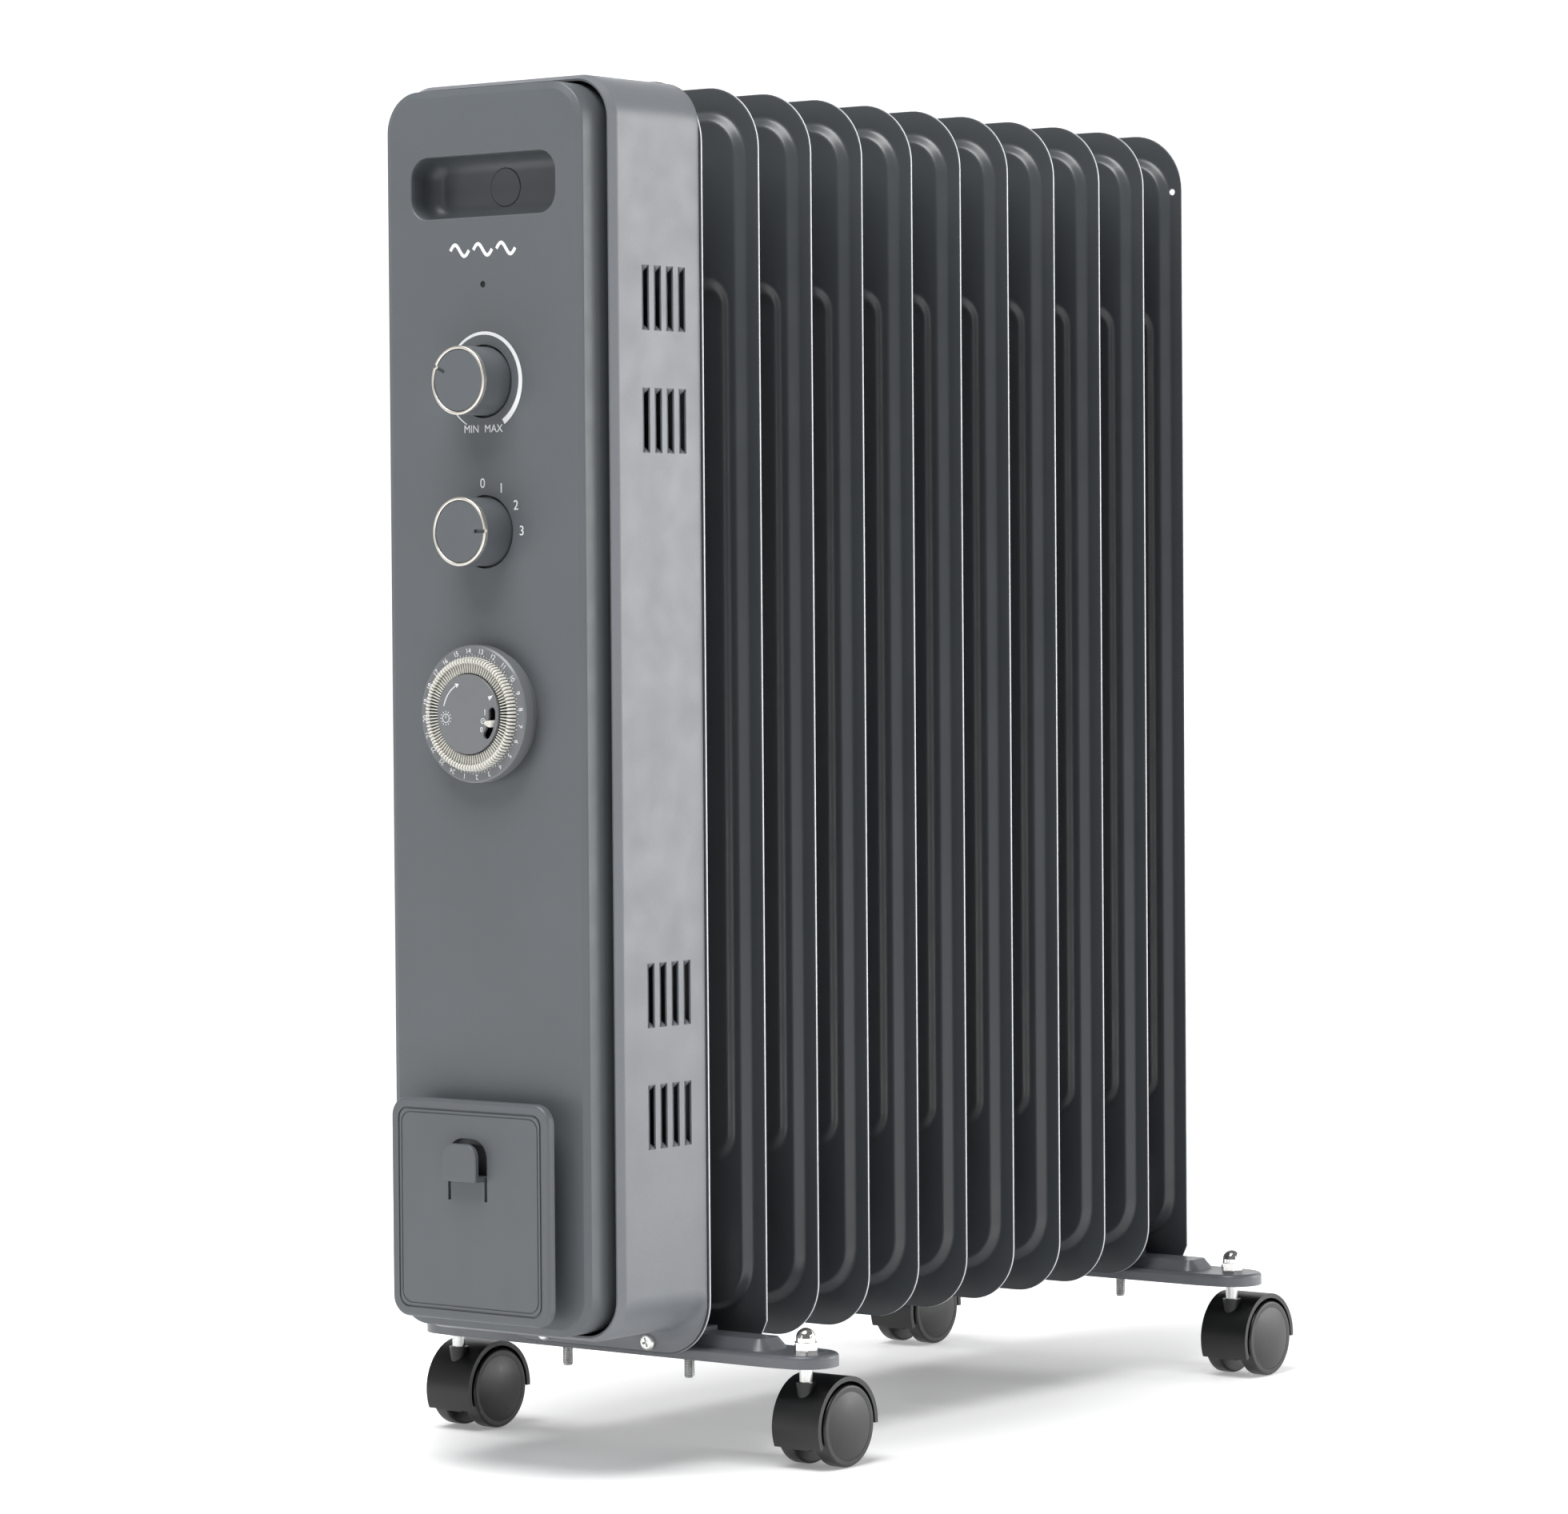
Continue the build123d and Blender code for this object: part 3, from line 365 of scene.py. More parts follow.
# Each profile says how far out from its edge the sheet reaches a height above the seam.
WEB_PROFILE = ((-6.4, 0.72), (-5.0, 0.78), (-3.9, 1.02), (-2.7, 1.5), (-1.2, 2.35), (0.2, 3.15), (1.4, 3.8),
               (2.5, 4.18), (3.6, 4.35), (4.8, PAN))
PAN_PROFILE = ((-5.0, PAN), (-4.2, 4.37), (-3.6, 4.2), (-3.1, 3.85), (-2.4, 3.1), (-1.4, 2.0), (-0.7, 1.3),
               (-0.1, 0.93), (0.5, 0.76), (1.2, 0.7))
BORDER_PROFILE = ((-0.9, RIM), (-0.3, 0.64), (-0.06, 0.42), (0.0, 0.0))
CORNER_CUT = (6.0, 12.5)     # the straight cut at a fin's lower corners beside the feet
PITCH, LAST_PITCH = 39.5, 35.5
SEAMS = [75.6, 117.5]        # each fin's distance back from the cover's face
while len(SEAMS) < len(FINS) - 1:
    SEAMS.append(SEAMS[-1] + PITCH)
SEAMS.append(SEAMS[-1] + LAST_PITCH)
HOLE = (60.2, 600.0, 1.6)    # x, z and radius, near the last fin's upper corner
NECK_HALF = (31.0, 17.0)     # across and up
NECK_Z = (94.0, 578.0)
NECK_FLARE = 3.2
NECK_SINK = 0.02             # how far a neck's end sits in the fin's face
WELD_DISTANCE = 0.00002      # in metres


def grow(edge, by):
    """An edge moved outwards, or inwards where by is negative."""
    half_width, low, high, top_radius, low_radius = edge
    return half_width + by, low - by, high + by, max(1, top_radius + by), max(1, low_radius + by)


def fin_side(cut):
    """Loops of one pressed half from the web's middle out to the seam, as (outline, height) pairs."""
    steps = [(outline(*grow(WEB_EDGE, by)), height) for by, height in WEB_PROFILE]
    steps += [(outline(*grow(PAN_EDGE, by)), height) for by, height in PAN_PROFILE]
    for by, height in BORDER_PROFILE:
        steps.append((outline(*grow(BORDER_EDGE, by), cut=CORNER_CUT if cut else None), height))
    return steps


def neck_loops(start, end, z):
    """An oval oil neck between two fins, flared where it meets each of them."""
    ends = []
    for angle in (0, 22, 45, 68, 90):
        ends.append((NECK_FLARE * (1 - sin(radians(angle))), NECK_FLARE * (1 - cos(radians(angle)))))
    rows = [(start + along, out) for out, along in ends]
    rows += [(end - along, out) for out, along in reversed(ends)]
    half_x, half_z = NECK_HALF
    loops = []
    for back, out in rows:
        radius = half_z + out - 0.01     # just short of half the height, so no two points meet
        loops.append(at(outline(half_x + out, z - half_z - out, z + half_z + out, radius, radius, steps=10),
                        back))
    return loops


def drill(fin, seam):
    """Open the small hole near the last fin's upper corner. Its wall takes the rim's painted highlight, so
    it shows as a bright dot.
    """
    x, z, radius = HOLE
    shell = Shell()
    ring = circle(radius, 28, x, z)
    # the cutter's faces bring the painted highlight onto the hole's wall
    shell.loft([at(ring, seam - 2), at(ring, seam + 2)], cap_first=True, cap_last=True, material=1)
    cutter = shell.build("hole_cutter", "heater", "fin_paint", fin_paint, fin_rim_highlight, sharp=0, weighted=False)
    blank = put(bpy.data.objects.new("undrilled_fin", fin.data))
    cut = blank.modifiers.new("hole", "BOOLEAN")
    cut.object = cutter
    cut.solver = "EXACT"
    bpy.context.view_layer.update()
    drilled = blank.evaluated_get(bpy.context.evaluated_depsgraph_get())
    fin.data = bpy.data.meshes.new_from_object(drilled)
    bpy.data.objects.remove(blank)
    bpy.data.objects.remove(cutter)


def make_fins():
    """The pressed fins, each with the oval necks that join it to the next one."""
    for index, name in enumerate(FINS):
        cut = index in (1, len(FINS) - 1)
        side = fin_side(cut)
        shell = Shell()
        front = [at(points, SEAMS[index] - height) for points, height in side]
        rear = [at(points, SEAMS[index] + height) for points, height in reversed(side[:-1])]
        rim = len(front) - 1
        rows = front + rear
        shell.loft(rows[:rim], cap_first=True)
        # the rim's rows carry the painted highlight
        shell.loft(rows[rim - 1:rim + 2], material=1)
        shell.loft(rows[rim + 1:], cap_last=True)
        if index + 1 < len(FINS):
            for z in NECK_Z:
                shell.loft(neck_loops(SEAMS[index] + PAN - NECK_SINK, SEAMS[index + 1] - PAN + NECK_SINK, z))
        fin = shell.build(f"{name}_pressing", "heater", "fin_paint", fin_paint, fin_rim_highlight, sharp=50)
        weld = bmesh.new()
        weld.from_mesh(fin.data)
        bmesh.ops.remove_doubles(weld, verts=weld.verts, dist=WELD_DISTANCE)
        weld.to_mesh(fin.data)
        weld.free()
        if name == FINS[-1]:
            drill(fin, SEAMS[index])
        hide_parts(name)


make_fins()


# ---------------------------------------------------------------- side case
CASE_HALF = 64.5
CASE_LOW, CASE_HIGH = 62.0, 628.0
CASE_RADIUS = 20.5
CASE_BACK = 74.9             # where the case meets the first fin
CORNER_STEPS = 16
SHEET = 1.0                  # the case's wall
CASE_RIM = ((2.0, 13.0), (1.95, 13.15), (0.3, 16.4), (0.08, 16.95), (0.0, 17.6))    # drawn in, back
FLANGE_BACK = CASE_BACK - 1.0
FLANGE_BEND = 8.5            # the radius of the turn into the flange, along the case
FLANGE_DROP = 11.7           # how far the flange reaches below the case
FLANGE_OUT = 0.4
FLANGE_CORNER = 4.5          # how much the lower corners' radius grows on the flange
LOUVRE_MIDDLES = (162.4, 217.0, 474.3, 529.0)
LOUVRE_BACKS = (36.0, 44.6, 53.2, 61.8)
LOUVRE_HALF = (2.6, 14.5)    # along the case and up
VANE = (4.0, 2.3, 2.6)       # how far a vane reaches along the case, into it, and short of the slot's ends
VANE_SHEET = 0.7


def case_rows():
    """The case's outlines from its sloping front rim to its flange, and the rows where slots start."""
    levels = [z + side * LOUVRE_HALF[1] for z in LOUVRE_MIDDLES for side in (-1, 1)]

    def row(back, drawn_in=0.0, drop=0.0):
        """One outline, drawn in all round, or dropped at the flange by a share of its depth."""
        half, radius = CASE_HALF - drawn_in, CASE_RADIUS - drawn_in
        low, high = CASE_LOW + drawn_in - FLANGE_DROP * drop, CASE_HIGH - drawn_in
        shape = outline(half + FLANGE_OUT * drop, low, high, radius, radius + FLANGE_CORNER * drop,
                        steps=CORNER_STEPS, levels=levels)
        return at(shape, back)

    rows = []
    for drawn_in, back in CASE_RIM:
        rows.append(row(back, drawn_in=drawn_in))
    slots = []
    for back in LOUVRE_BACKS:
        slots.append(len(rows))
        rows += [row(back - LOUVRE_HALF[0]), row(back + LOUVRE_HALF[0])]
    for step in range(9):
        angle = radians(90 * step / 8)
        rows.append(row(FLANGE_BACK - FLANGE_BEND + FLANGE_BEND * sin(angle),
                        drop=FLANGE_BEND * (1 - cos(angle)) / FLANGE_DROP))
    for drop, back in ((0.86, FLANGE_BACK), (0.98, FLANGE_BACK + 0.05), (1.0, FLANGE_BACK + 0.3)):
        rows.append(row(back, drop=drop))
    return rows, slots


def make_case():
    """The wrapped case with its slots open, and the bent vanes behind them."""
    rows, slots = case_rows()
    corner = CORNER_STEPS + 1            # points on each corner of an outline
    pairs = len(LOUVRE_MIDDLES)
    right = [corner + 2 * k for k in range(pairs)]
    left = [corner * 3 + 2 * pairs + 2 * k for k in range(pairs)]
    holes = {(slot, column) for slot in slots for column in right + left}
    shell = Shell()
    shell.loft(rows, skip=lambda row, column: (row, column) in holes)
    case = shell.build("side_case_wrap", "heater", "case_paint", case_paint, sharp=0, weighted=False)
    wall = case.modifiers.new("sheet thickness", "SOLIDIFY")
    wall.thickness = SHEET * MM
    wall.offset = -1.0
    edge = case.modifiers.new("broken edges", "BEVEL")
    edge.width = 0.35 * MM
    edge.segments = 2
    edge.limit_method = "ANGLE"
    edge.angle_limit = radians(40)
    even = case.modifiers.new("even shading", "WEIGHTED_NORMAL")
    even.keep_sharp = True
    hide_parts("side_case")

    vanes = Shell()
    along, inward, short = VANE
    for side in (-1, 1):
        for z in LOUVRE_MIDDLES:
            for back in LOUVRE_BACKS:
                front, rear = FACE_Y + back - LOUVRE_HALF[0], FACE_Y + back + LOUVRE_HALF[0]
                wall = side * (CASE_HALF - SHEET / 2)
                rows = []
                for share in (0, 0.12, 0.4, 0.75, 1.0):
                    bent = share ** 1.25
                    end = LOUVRE_HALF[1] - short * share
                    x, y = wall - side * inward * bent, front + along * share
                    rows.append([(x, y, z - end), (x, y, z + end)])
                vanes.loft(rows, closed=False)
                for up in (-1, 1):       # the small web that closes each end of a vane
                    tip = [row[0 if up < 0 else 1] for row in rows]
                    first = len(vanes.points)
                    vanes.points.extend(tip + [(wall, rear, z + up * LOUVRE_HALF[1])])
                    for step in range(len(tip) - 1):
                        vanes.add((first + step, first + step + 1, first + len(tip)))
    strips = vanes.build("louvre_vanes", "heater", "case_paint", case_paint, sharp=0, weighted=False)
    sheet = strips.modifiers.new("sheet thickness", "SOLIDIFY")
    sheet.thickness = VANE_SHEET * MM
    sheet.offset = 0.0


make_case()


# ---------------------------------------------------------------- printed legends
SLOT_OF_INK = "white_plastic"
INK = 0.06                   # ink stands this far proud


def lettering(name, body, text, size, x, z, back, turn=0.0, spacing=1.0):
    """Plain figures or words lying on a face that looks towards -Y, turned clockwise by turn degrees."""
    curve = bpy.data.curves.new(name, "FONT")
    curve.body = text
    curve.size = size
    curve.align_x, curve.align_y = "CENTER", "CENTER"
    curve.extrude = INK
    curve.space_character = spacing
    temporary = put(bpy.data.objects.new(f"{name}_text", curve))
    bpy.context.view_layer.update()
    mesh = bpy.data.meshes.new_from_object(temporary.evaluated_get(bpy.context.evaluated_depsgraph_get()))
    bpy.data.objects.remove(temporary)
    mesh.transform(Matrix.Scale(MM, 4) @ Matrix.Translation((x, FACE_Y + back, z))
                   @ Matrix.Rotation(radians(turn), 4, "Y") @ Matrix.Rotation(radians(90), 4, "X"))
    mesh.materials.clear()
    mesh.materials.append(white_ink)
    obj = put(bpy.data.objects.new(name, mesh))
    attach(obj, body)


def ribbon(shell, inner, outer, back):
    """A flat printed stroke between two rows of (x, z) points, with a thin edge all round."""
    y = FACE_Y + back
    loops = []
    for (ax, az), (bx, bz) in zip(inner, outer):
        loops.append([(ax, y + INK, az), (ax, y - INK, az), (bx, y - INK, bz), (bx, y + INK, bz)])
    shell.loft(loops, cap_first=True, cap_last=True)


def arc_stroke(shell, x, z, radius, start, end, width, back, steps=48):
    """A stroke round (x, z) between two clockwise angles from the top; width(share) may vary."""
    inner, outer = [], []
    for step in range(steps + 1):
        share = step / steps
        angle = radians(90 - (start + (end - start) * share))
        half = width(share) / 2
        inner.append((x + (radius - half) * cos(angle), z + (radius - half) * sin(angle)))
        outer.append((x + (radius + half) * cos(angle), z + (radius + half) * sin(angle)))
    ribbon(shell, inner, outer, back)


def line_stroke(shell, x0, z0, x1, z1, width, back):
    """A straight stroke from (x0, z0) to (x1, z1)."""
    length = hypot(x1 - x0, z1 - z0)
    nx, nz = -(z1 - z0) / length * width / 2, (x1 - x0) / length * width / 2
    ribbon(shell, [(x0 + nx, z0 + nz), (x1 + nx, z1 + nz)], [(x0 - nx, z0 - nz), (x1 - nx, z1 - nz)], back)


def wedge(shell, points, back):
    """A small printed polygon."""
    y = FACE_Y + back
    shell.loft([[(x, y + INK, z) for x, z in points], [(x, y - INK, z) for x, z in points]],
               cap_first=True, cap_last=True)


SCALE_RADIUS = 21.6          # of the marks round both knobs
WAVE_LEFT, WAVE_PITCH, WAVE_LENGTH, WAVE_HEIGHT, WAVE_HALF = -19.0, 13.6, 11.0, 2.6, 0.8
WAVE_Z = 551.6


def make_cover_legends():
    """The knobs' scales and a generic mark of three waves."""
    strokes = Shell()
    arc_stroke(strokes, 0, THERMOSTAT_Z, SCALE_RADIUS, -152, 148, lambda share: 0.5 + 2.1 * share ** 1.2, 0)
    strokes.build("thermostat_scale", "heater", SLOT_OF_INK, white_ink, sharp=30, weighted=False)
    lettering("legend_min", "heater", "MIN", 5.0, -7.4, THERMOSTAT_Z - 21.4, 0)
    lettering("legend_max", "heater", "MAX", 5.0, 5.6, THERMOSTAT_Z - 21.4, 0)
    for figure, angle in (("0", -3), ("1", 27), ("2", 58), ("3", 90)):
        x, z = SCALE_RADIUS * sin(radians(angle)), SELECTOR_Z + SCALE_RADIUS * cos(radians(angle))
        lettering(f"legend_{figure}", "heater", figure, 6.2, x, z, 0)
    mark = Shell()
    for number in range(3):
        inner, outer = [], []
        for step in range(41):
            share = step / 40
            x = WAVE_LEFT + WAVE_PITCH * number + WAVE_LENGTH * share
            z = WAVE_Z + WAVE_HEIGHT * sin(tau * share)
            slope = WAVE_HEIGHT * tau / WAVE_LENGTH * cos(tau * share)
            length = hypot(1, slope)
            nx, nz = -slope / length * WAVE_HALF, 1 / length * WAVE_HALF
            inner.append((x + nx, z + nz))
            outer.append((x - nx, z - nz))
        ribbon(mark, inner, outer, 0)
    mark.build("front_mark", "heater", SLOT_OF_INK, white_ink, sharp=30, weighted=False)


make_cover_legends()


# ---------------------------------------------------------------- timer
DIAL_FACE = -9.6             # the turning dial's front, where the hours are printed
HUB_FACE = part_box("timer_face")[0][1] / MM - FACE_Y
TAPPETS = 96
SWITCH_RADIUS, SWITCH_ANGLE = 14.4, -17.0
HOUR_RADIUS, HOUR_SIZE, FIRST_HOUR = 28.2, 3.3, 13.7
TICK_START, TICK_END, HOUR_TICK_END = 25.9, 26.6, 27.0
ICON_RADIUS, ARROW_HALF = 14.4, 1.2


def round_timer(radius, angle):
    """(x, z) at a clockwise angle in degrees from the timer's top."""
    return radius * sin(radians(angle)), TIMER_Z + radius * cos(radians(angle))


def make_timer_legends():
    """The hours and ticks on the dial, and the switch's icons on the fixed face inside it."""
    for hour in range(1, 25):
        angle = (FIRST_HOUR - hour) * 15
        x, z = round_timer(HOUR_RADIUS, angle)
        lettering(f"hour_{hour:02d}", "timer_ring", str(hour), HOUR_SIZE, x, z, DIAL_FACE, turn=angle,
                  spacing=0.92)
    ticks = Shell()
    for step in range(TAPPETS):
        angle = 360 / TAPPETS * step
        line_stroke(ticks, *round_timer(TICK_START, angle),
                    *round_timer(TICK_END if step % 4 else HOUR_TICK_END, angle), 0.26, DIAL_FACE)
    ticks.build("quarter_hour_ticks", "timer_ring", SLOT_OF_INK, white_ink, sharp=0, weighted=False)

    icons = Shell()
    arc_stroke(icons, 0, TIMER_Z, ICON_RADIUS, -76, -27, lambda share: 0.5, HUB_FACE, steps=20)
    wedge(icons, [round_timer(ICON_RADIUS, -20), round_timer(ICON_RADIUS + ARROW_HALF, -28),
                  round_timer(ICON_RADIUS - ARROW_HALF, -28)], HUB_FACE)
    wedge(icons, [round_timer(17.3, 60.6), round_timer(ICON_RADIUS, 56.4), round_timer(ICON_RADIUS, 64.8)],
          HUB_FACE)
    # the sign for timed heat: a clock in a ring of rays
    sun_x, sun_z = -12.8, TIMER_Z - 1.9
    arc_stroke(icons, sun_x, sun_z, 1.9, 0, 360, lambda share: 0.28, HUB_FACE, steps=28)
    line_stroke(icons, sun_x, sun_z + 1.3, sun_x, sun_z - 0.1, 0.3, HUB_FACE)
    for ray in range(12):
        angle = tau * ray / 12
        line_stroke(icons, sun_x + 2.5 * sin(angle), sun_z + 2.5 * cos(angle),
                    sun_x + 3.3 * sin(angle), sun_z + 3.3 * cos(angle), 0.3, HUB_FACE)
    # the signs beside the nub: a stroke for on, a crossed ring and a nought for off
    line_stroke(icons, 10.3, TIMER_Z + 2.2, 10.3, TIMER_Z - 0.4, 0.36, HUB_FACE)
    arc_stroke(icons, 9.1, TIMER_Z - 3.0, 1.15, 0, 360, lambda share: 0.28, HUB_FACE, steps=24)
    line_stroke(icons, 8.6, TIMER_Z - 3.5, 9.6, TIMER_Z - 2.5, 0.24, HUB_FACE)
    icons.build("timer_icons", "heater", SLOT_OF_INK, white_ink, sharp=0, weighted=False)
    lettering("timer_off_figure", "heater", "0", 3.2, 8.2, TIMER_Z - 6.9, HUB_FACE)


# One tappet from the side: radius, distance back, half thickness, and which way its edges are eased.
TAPPET = [(18.3, -9.7, 0.24, 0), (18.3, -11.8, 0.24, 1), (18.6, -12.2, 0.24, 1), (22.7, -12.3, 0.24, 0),
          (23.0, -13.0, 0.50, 0), (23.5, -13.3, 0.50, 0), (24.6, -13.3, 0.50, -1), (25.2, -12.8, 0.50, -1),
          (25.6, -11.6, 0.50, -1), (25.8, -9.7, 0.50, 0)]
TAPPET_FOOT = -10.0          # nothing is eased behind this, where a tappet stands in the dial
TAPPET_EASE = 0.12


def make_tappets():
    """Ninety-six push-down tappets: a thin blade with a thicker, rounded head."""
    shell = Shell()
    for number in range(TAPPETS):
        angle = tau * (number + 0.5) / TAPPETS
        across, along = Vector((cos(angle), 0, -sin(angle))), Vector((sin(angle), 0, cos(angle)))
        loops = []
        for side, ease in ((-1, TAPPET_EASE), (-0.72, 0.0), (0.72, 0.0), (1, TAPPET_EASE)):
            loop = []
            for r, back, half, way in TAPPET:
                pull = ease if back < TAPPET_FOOT else 0.0
                loop.append(across * (side * half) + along * (r + pull * way)
                            + Vector((0, FACE_Y + back + pull, TIMER_Z)))
            loops.append([tuple(p) for p in loop])
        shell.loft(loops, cap_first=True, cap_last=True)
    tappets = shell.build("timer_tappet_ring", "timer_ring", "white_plastic", white_plastic, sharp=45)
    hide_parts("timer_tappets")


NUB_RADIUS, NUB_REACH, NUB_NOSE = 1.6, 1.7, radians(170)
ARM_RADIUS = 1.5


def make_override_nub():
    """The white thumb nub: round with a pointed nose towards the icons, on a dark lever."""
    lean = radians(SWITCH_ANGLE)
    x0, z0 = SWITCH_RADIUS * cos(lean), TIMER_Z + SWITCH_RADIUS * sin(lean)
    rows = []
    for back, size in ((-9.0, 1.0), (-13.2, 1.0), (-14.3, 0.96), (-14.8, 0.8), (-14.95, 0.5)):
        loop = []
        for step in range(28):
            angle = tau * step / 28
            nose = max(0.0, cos(angle - NUB_NOSE)) ** 6
            radius = size * (NUB_RADIUS + NUB_REACH * nose)
            loop.append((x0 + radius * cos(angle), FACE_Y + back, z0 + radius * sin(angle)))
        rows.append(loop)
    shell = Shell()
    shell.loft(rows, cap_first=True, cap_last=True)
    nub = shell.build("override_nub", "override_lever", "white_plastic", white_plastic, sharp=50)
    arm = Shell()
    bar = []
    for x, z in circle(ARM_RADIUS, 32, 0, TIMER_Z):
        reach = SWITCH_RADIUS if x * cos(lean) + (z - TIMER_Z) * sin(lean) > 0 else 0.0
        bar.append((x + reach * cos(lean), z + reach * sin(lean)))
    arm.loft([at(bar, -10.0), at(bar, -8.2)], cap_first=True, cap_last=True)
    lever = arm.build("override_arm", "override_lever", "white_plastic", dark_hole, sharp=40)
    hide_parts("timer_override_lever")
    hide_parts("timer_override_lever")


make_timer_legends()
make_tappets()
make_override_nub()


# ---------------------------------------------------------------- clamp rods with cut threads
ROD_RADIUS = 2.5
SHANK_RADIUS = ROD_RADIUS * 0.97
ROD_BEND = 15.0
THREAD_LENGTH, THREAD_PITCH, THREAD_DEPTH = 15, 0.8, 0.42
THREAD_LEAD = 0.9            # how far up a rod's end tapers


def thread_loop(x, y, z, start):
    """The outline of a rod's thread at a height."""
    lead = min(1.0, (z - start) / THREAD_LEAD)
    loop = []
    for i in range(24):
        turn = i / 24
        groove = abs((z / THREAD_PITCH - turn) % 1.0 - 0.5) * 2
        r = (ROD_RADIUS - THREAD_DEPTH * groove) * (0.84 + 0.16 * lead)
        loop.append((x + r * cos(tau * turn), y + r * sin(tau * turn), z))
    return loop


def make_clamp_rods():
    """The two bent rods over the lower necks, with real threads on their lower ends."""
    low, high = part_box("clamp_rods")
    start = low[2] / MM
    top = high[2] / MM - ROD_RADIUS
    half_x = high[0] / MM - ROD_RADIUS
    backs = (low[1] / MM + ROD_RADIUS, high[1] / MM - ROD_RADIUS)
    path = [(-half_x, start + THREAD_LENGTH - 0.5), (-half_x, top - ROD_BEND)]
    for step in range(1, 13):
        angle = radians(7.5 * step)
        path.append((-half_x + ROD_BEND * (1 - cos(angle)), top - ROD_BEND + ROD_BEND * sin(angle)))
    path += [(-x, z) for x, z in reversed(path)]
    steps = int(THREAD_LENGTH / (THREAD_PITCH / 6))
    for name, y in zip(("front_clamp_rod", "rear_clamp_rod"), backs):
        shell = Shell()
        for side in (-1, 1):
            heights = [start + THREAD_LENGTH * row / steps for row in range(steps + 1)]
            thread = [thread_loop(side * half_x, y, z, start) for z in heights]
            shell.loft(thread, cap_first=True, cap_last=True)
        rows = []
        for number, (x, z) in enumerate(path):
            before, after = path[max(0, number - 1)], path[min(len(path) - 1, number + 1)]
            lean = atan2(after[1] - before[1], after[0] - before[0])
            loop = []
            for i in range(20):
                turn = tau * i / 20
                out = SHANK_RADIUS * cos(turn)
                loop.append((x - out * sin(lean), y + SHANK_RADIUS * sin(turn), z + out * cos(lean)))
            rows.append(loop)
        shell.loft(rows, cap_first=True, cap_last=True)
        rod = shell.build(name, "heater", "zinc_thread", zinc, sharp=50)
        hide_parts("clamp_rods")


make_clamp_rods()


# ---------------------------------------------------------------- finishes on the CAD nodes
FINISH = {
    "front_cover": cover_plastic, "cord_inlet_bush": black_plastic, "grip_pocket": pocket_painted_shade,
    "grip_plug": pocket_painted_shade, "cord_plate": cover_plastic, "cord_hub": cover_plastic,
    "thermostat_knob": knob_plastic, "selector_knob": knob_plastic,
    "thermostat_knob_ring": champagne, "selector_knob_ring": champagne,
    "timer_body": dial_plastic, "timer_face": dial_plastic, "timer_dial": dial_plastic,
    "indicator_lamp": dark_hole, "control_bracket": zinc, "thermostat_body": inside_plastic,
    "selector_body": inside_plastic, "thermal_cutout": inside_plastic, "terminal_block": nylon,
    "wiring_leads": sleeving, "tip_switch_frame": black_plastic, "tip_switch_weight": brass,
    "case_screws": screw_zinc, "front_foot": foot_paint, "rear_foot": foot_paint, "foot_saddles": foot_paint,
    "clamp_nuts": zinc, "caster_stems": zinc, "cap_nuts": chrome, "oil_filler_plug": zinc,
    "heating_tubes": dull_steel, "heater_flange": zinc, "heater_gasket": fibre,
}
FINISH_BY_START = {"caster_hood": black_plastic, "wheel_": wheel_plastic}


def finish_cad():
    """Give every CAD node that isn't replaced its finish."""
    for name, obj in nodes.items():
        chosen = FINISH.get(name)
        for start, material in FINISH_BY_START.items():
            if name.startswith(start):
                chosen = material
        if chosen:
            obj.data.materials.clear()
            obj.data.materials.append(chosen)


finish_cad()


# ---------------------------------------------------------------- floor, light and camera
PAINTED_SHADOW_REACH = (0.15, 0.28)    # half the size of the painted shadow under the heater, in metres
GLOW = (0.11, 0.545)         # the paper's glow under the heater, dimmed there as a painted shadow, and away from it


def stage_material(name, colour, rough):
    """Pale paper that glows a little away from the heater, so the ground stays white; the weaker glow under
    the heater is a painted shadow.
    """
    n = Nodes(name)
    cloud = n.noise(1.5, 2)
    n.link(n.ramp(cloud, ((0.3, shade(colour, 0.99)), (0.7, colour))), n.shader.inputs["Base Color"])
    spread = n.add("ShaderNodeMapping")
    spread.inputs["Scale"].default_value = (1 / PAINTED_SHADOW_REACH[0], 1 / PAINTED_SHADOW_REACH[1], 0)
    n.link(n.place, spread.inputs["Vector"])
    away = n.add("ShaderNodeVectorMath", operation="LENGTH")
    n.link(spread.outputs["Vector"], away.inputs[0])
    glow = n.span(away.outputs["Value"], *GLOW, start=0.6, end=1.6)
    n.link(glow, n.shader.inputs["Emission Strength"])
    n.set(Roughness=rough, Specular_IOR_Level=0.2, Emission_Color=(1, 1, 1, 1))
    return n.material


# The sweep, in metres, measured from the heater along the camera's own direction.
SWEEP_FRONT, SWEEP_FLAT, SWEEP_BEND, SWEEP_TOP = -6.5, 3.8, 1.2, 4.0
SWEEP_HALF = 9.0
SWEEP_DROP = 0.0002          # how far the floor lies under the wheels


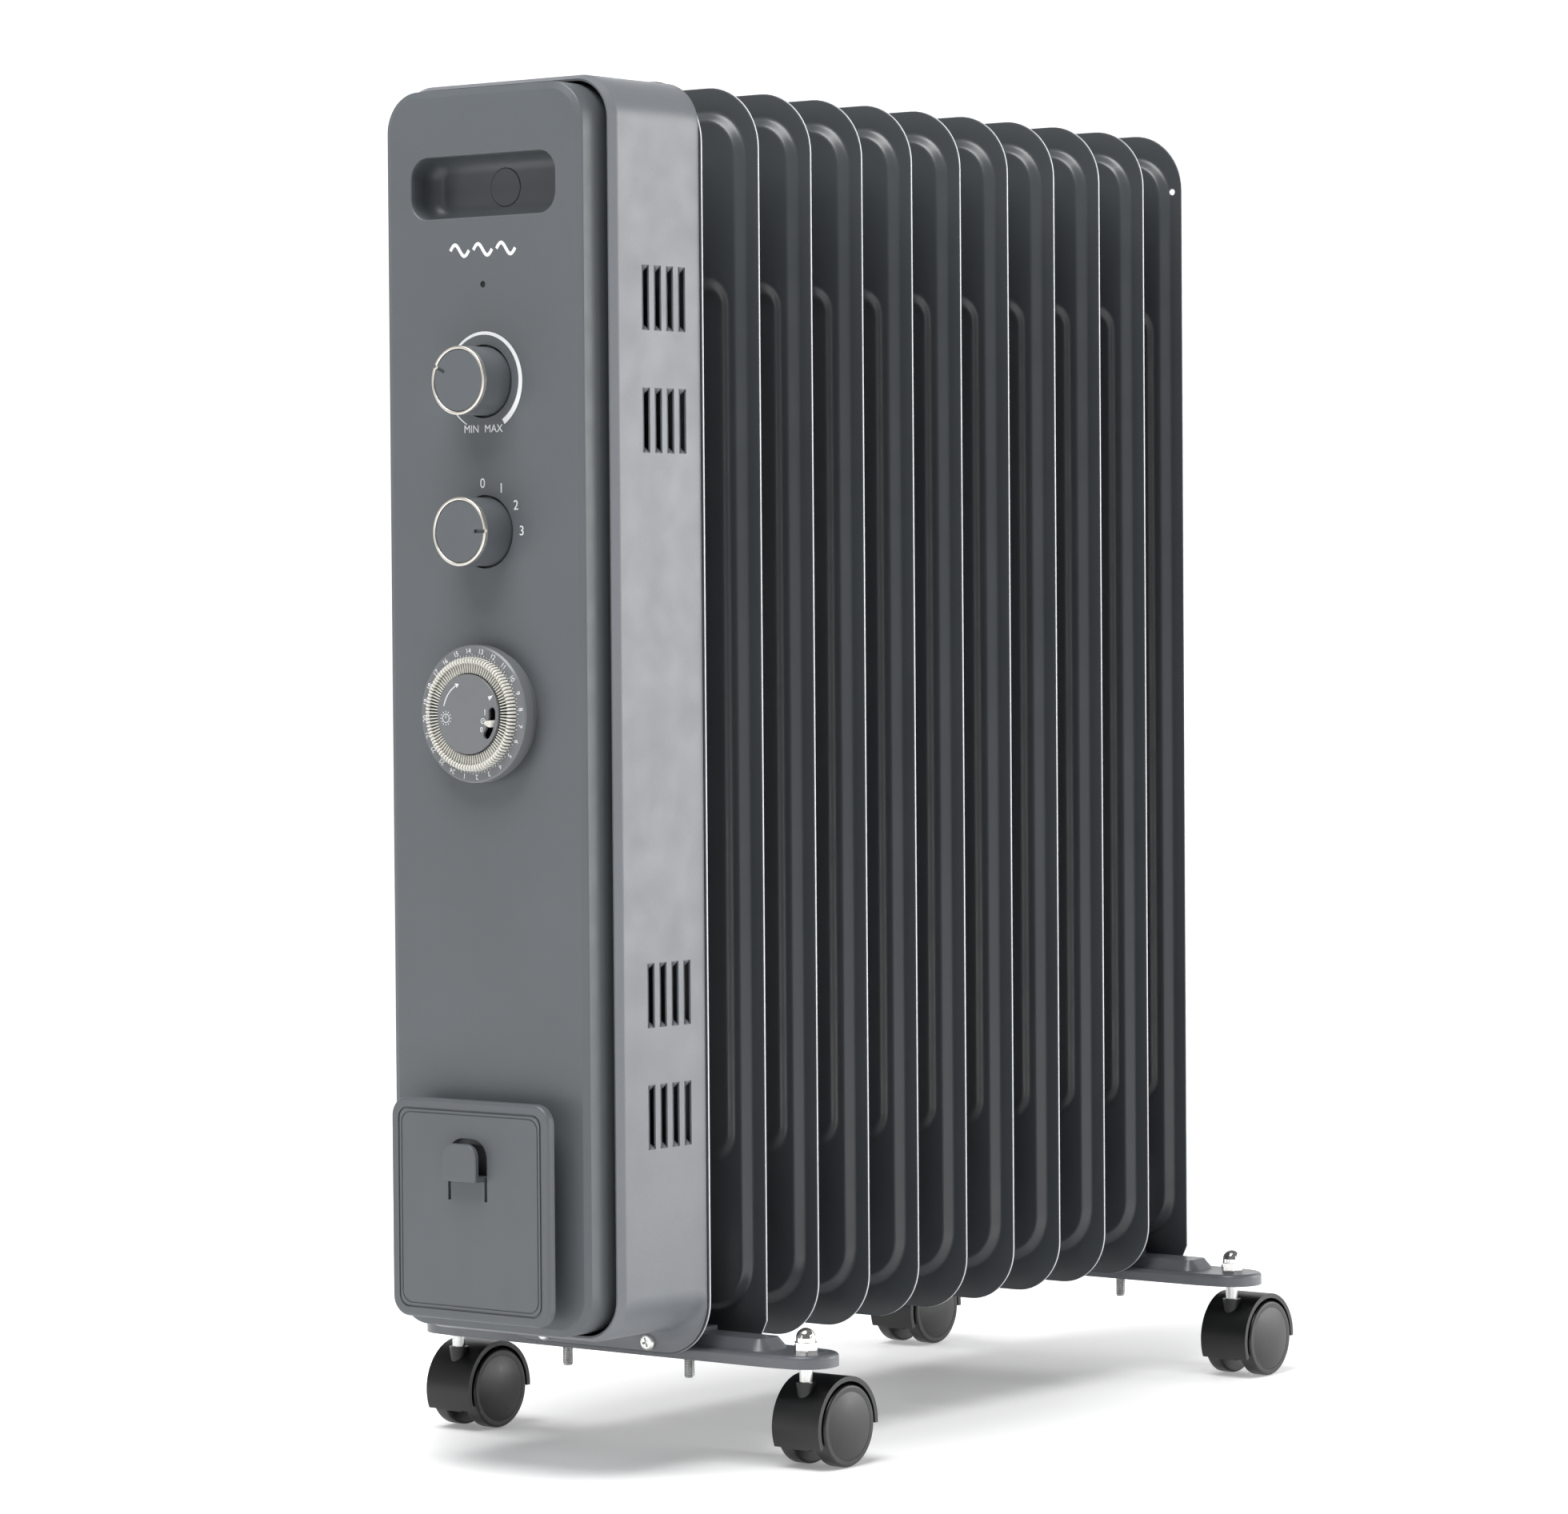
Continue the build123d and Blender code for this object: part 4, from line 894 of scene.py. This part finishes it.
def make_stage():
    """A pale sweep: flat floor, curving up into a wall well behind the heater."""
    rows = []
    profile = [(SWEEP_FRONT, 0.0), (-1.0, 0.0), (SWEEP_FLAT, 0.0)]
    for degrees in range(10, 91, 10):
        angle = radians(degrees)
        profile.append((SWEEP_FLAT + SWEEP_BEND * sin(angle), SWEEP_BEND * (1 - cos(angle))))
    profile += [(SWEEP_FLAT + SWEEP_BEND, SWEEP_TOP)]
    turn = Matrix.Rotation(radians(CAMERA_YAW), 3, "Z")
    for forward, height in profile:
        sides = (-SWEEP_HALF, SWEEP_HALF)
        rows.append([tuple(turn @ Vector((side, forward, height - SWEEP_DROP))) for side in sides])
    points = [p for row in rows for p in row]
    faces = [(2 * i, 2 * i + 1, 2 * i + 3, 2 * i + 2) for i in range(len(rows) - 1)]
    mesh = bpy.data.meshes.new("sweep")
    mesh.from_pydata(points, [], faces)
    mesh.materials.append(stage_material("sweep_paper", (0.93, 0.93, 0.935), 0.55))
    mesh.polygons.foreach_set("use_smooth", [True] * len(mesh.polygons))
    sweep = put(bpy.data.objects.new("sweep", mesh))


def softbox(name, place, aim, width, height, power):
    """A rectangular area light, in metres and watts."""
    light = bpy.data.lights.new(name, "AREA")
    light.shape = "RECTANGLE"
    light.size, light.size_y = width, height
    light.energy = power
    obj = bpy.data.objects.new(name, light)
    obj.location = place
    obj.rotation_euler = (Vector(aim) - Vector(place)).to_track_quat("-Z", "Y").to_euler()
    put(obj)


# Solved from the photo's fin corners, case and casters.
CAMERA_PLACE = (1583.9, -1840.95 + FACE_Y, 393.0)
CAMERA_YAW, CAMERA_PITCH, CAMERA_ROLL = 37.56, -1.65, -0.42
CAMERA_LENS = 124.04


def make_camera():
    """The camera at the photo's place, turned by yaw, pitch and roll."""
    yaw, pitch, roll = radians(CAMERA_YAW), radians(CAMERA_PITCH), radians(CAMERA_ROLL)
    forward = Vector((-sin(yaw) * cos(pitch), cos(yaw) * cos(pitch), sin(pitch)))
    level = Vector((cos(yaw), sin(yaw), 0))
    upright = level.cross(forward)
    right = level * cos(roll) + upright * sin(roll)
    up = upright * cos(roll) - level * sin(roll)
    data = bpy.data.cameras.new("camera")
    data.lens = CAMERA_LENS
    data.sensor_width = 36.0
    data.clip_end = 50
    camera = bpy.data.objects.new("camera", data)
    camera.matrix_world = Matrix((
        (right.x, up.x, -forward.x, CAMERA_PLACE[0] * MM),
        (right.y, up.y, -forward.y, CAMERA_PLACE[1] * MM),
        (right.z, up.z, -forward.z, CAMERA_PLACE[2] * MM),
        (0, 0, 0, 1),
    ))
    bpy.context.scene.camera = put(camera)


def around(azimuth, distance, height):
    """A place round the heater by its azimuth: 0 is in front of the panel, 90 is at +X."""
    return (distance * sin(radians(azimuth)), -distance * cos(radians(azimuth)), height)


WORLD_LIGHT = 0.19
SOFTBOXES = (                # name, place, aim, width, height and power
    ("front_bank", around(-30, 2.6, 0.7), (0, -0.2, 0.33), 1.0, 1.4, 3.0),
    ("front_strip", around(-8, 2.6, 0.5), (0.05, -0.23, 0.33), 0.16, 1.7, 4),
    ("right_bank", around(128, 2.4, 0.5), (0.06, -0.1, 0.33), 0.9, 1.6, 18),
    ("side_strip", around(96, 2.4, 0.5), (0.06, -0.2, 0.33), 0.4, 1.7, 9),
    ("rear_right_bank", around(146, 2.3, 0.55), (0.065, -0.1, 0.33), 0.9, 1.7, 20),
    ("top_bank", (0.1, -1.05, 2.25), (0, -0.1, 0.32), 1.4, 1.4, 60),
)


def make_light():
    """A dim white world and the softboxes."""
    world = bpy.data.worlds.new("studio")
    world.use_nodes = True
    background = world.node_tree.nodes["Background"]
    background.inputs["Color"].default_value = (1.0, 1.0, 1.0, 1)
    background.inputs["Strength"].default_value = WORLD_LIGHT
    bpy.context.scene.world = world
    bpy.context.scene.view_settings.view_transform = "Standard"
    for box in SOFTBOXES:
        softbox(*box)


make_camera()
make_stage()
make_light()
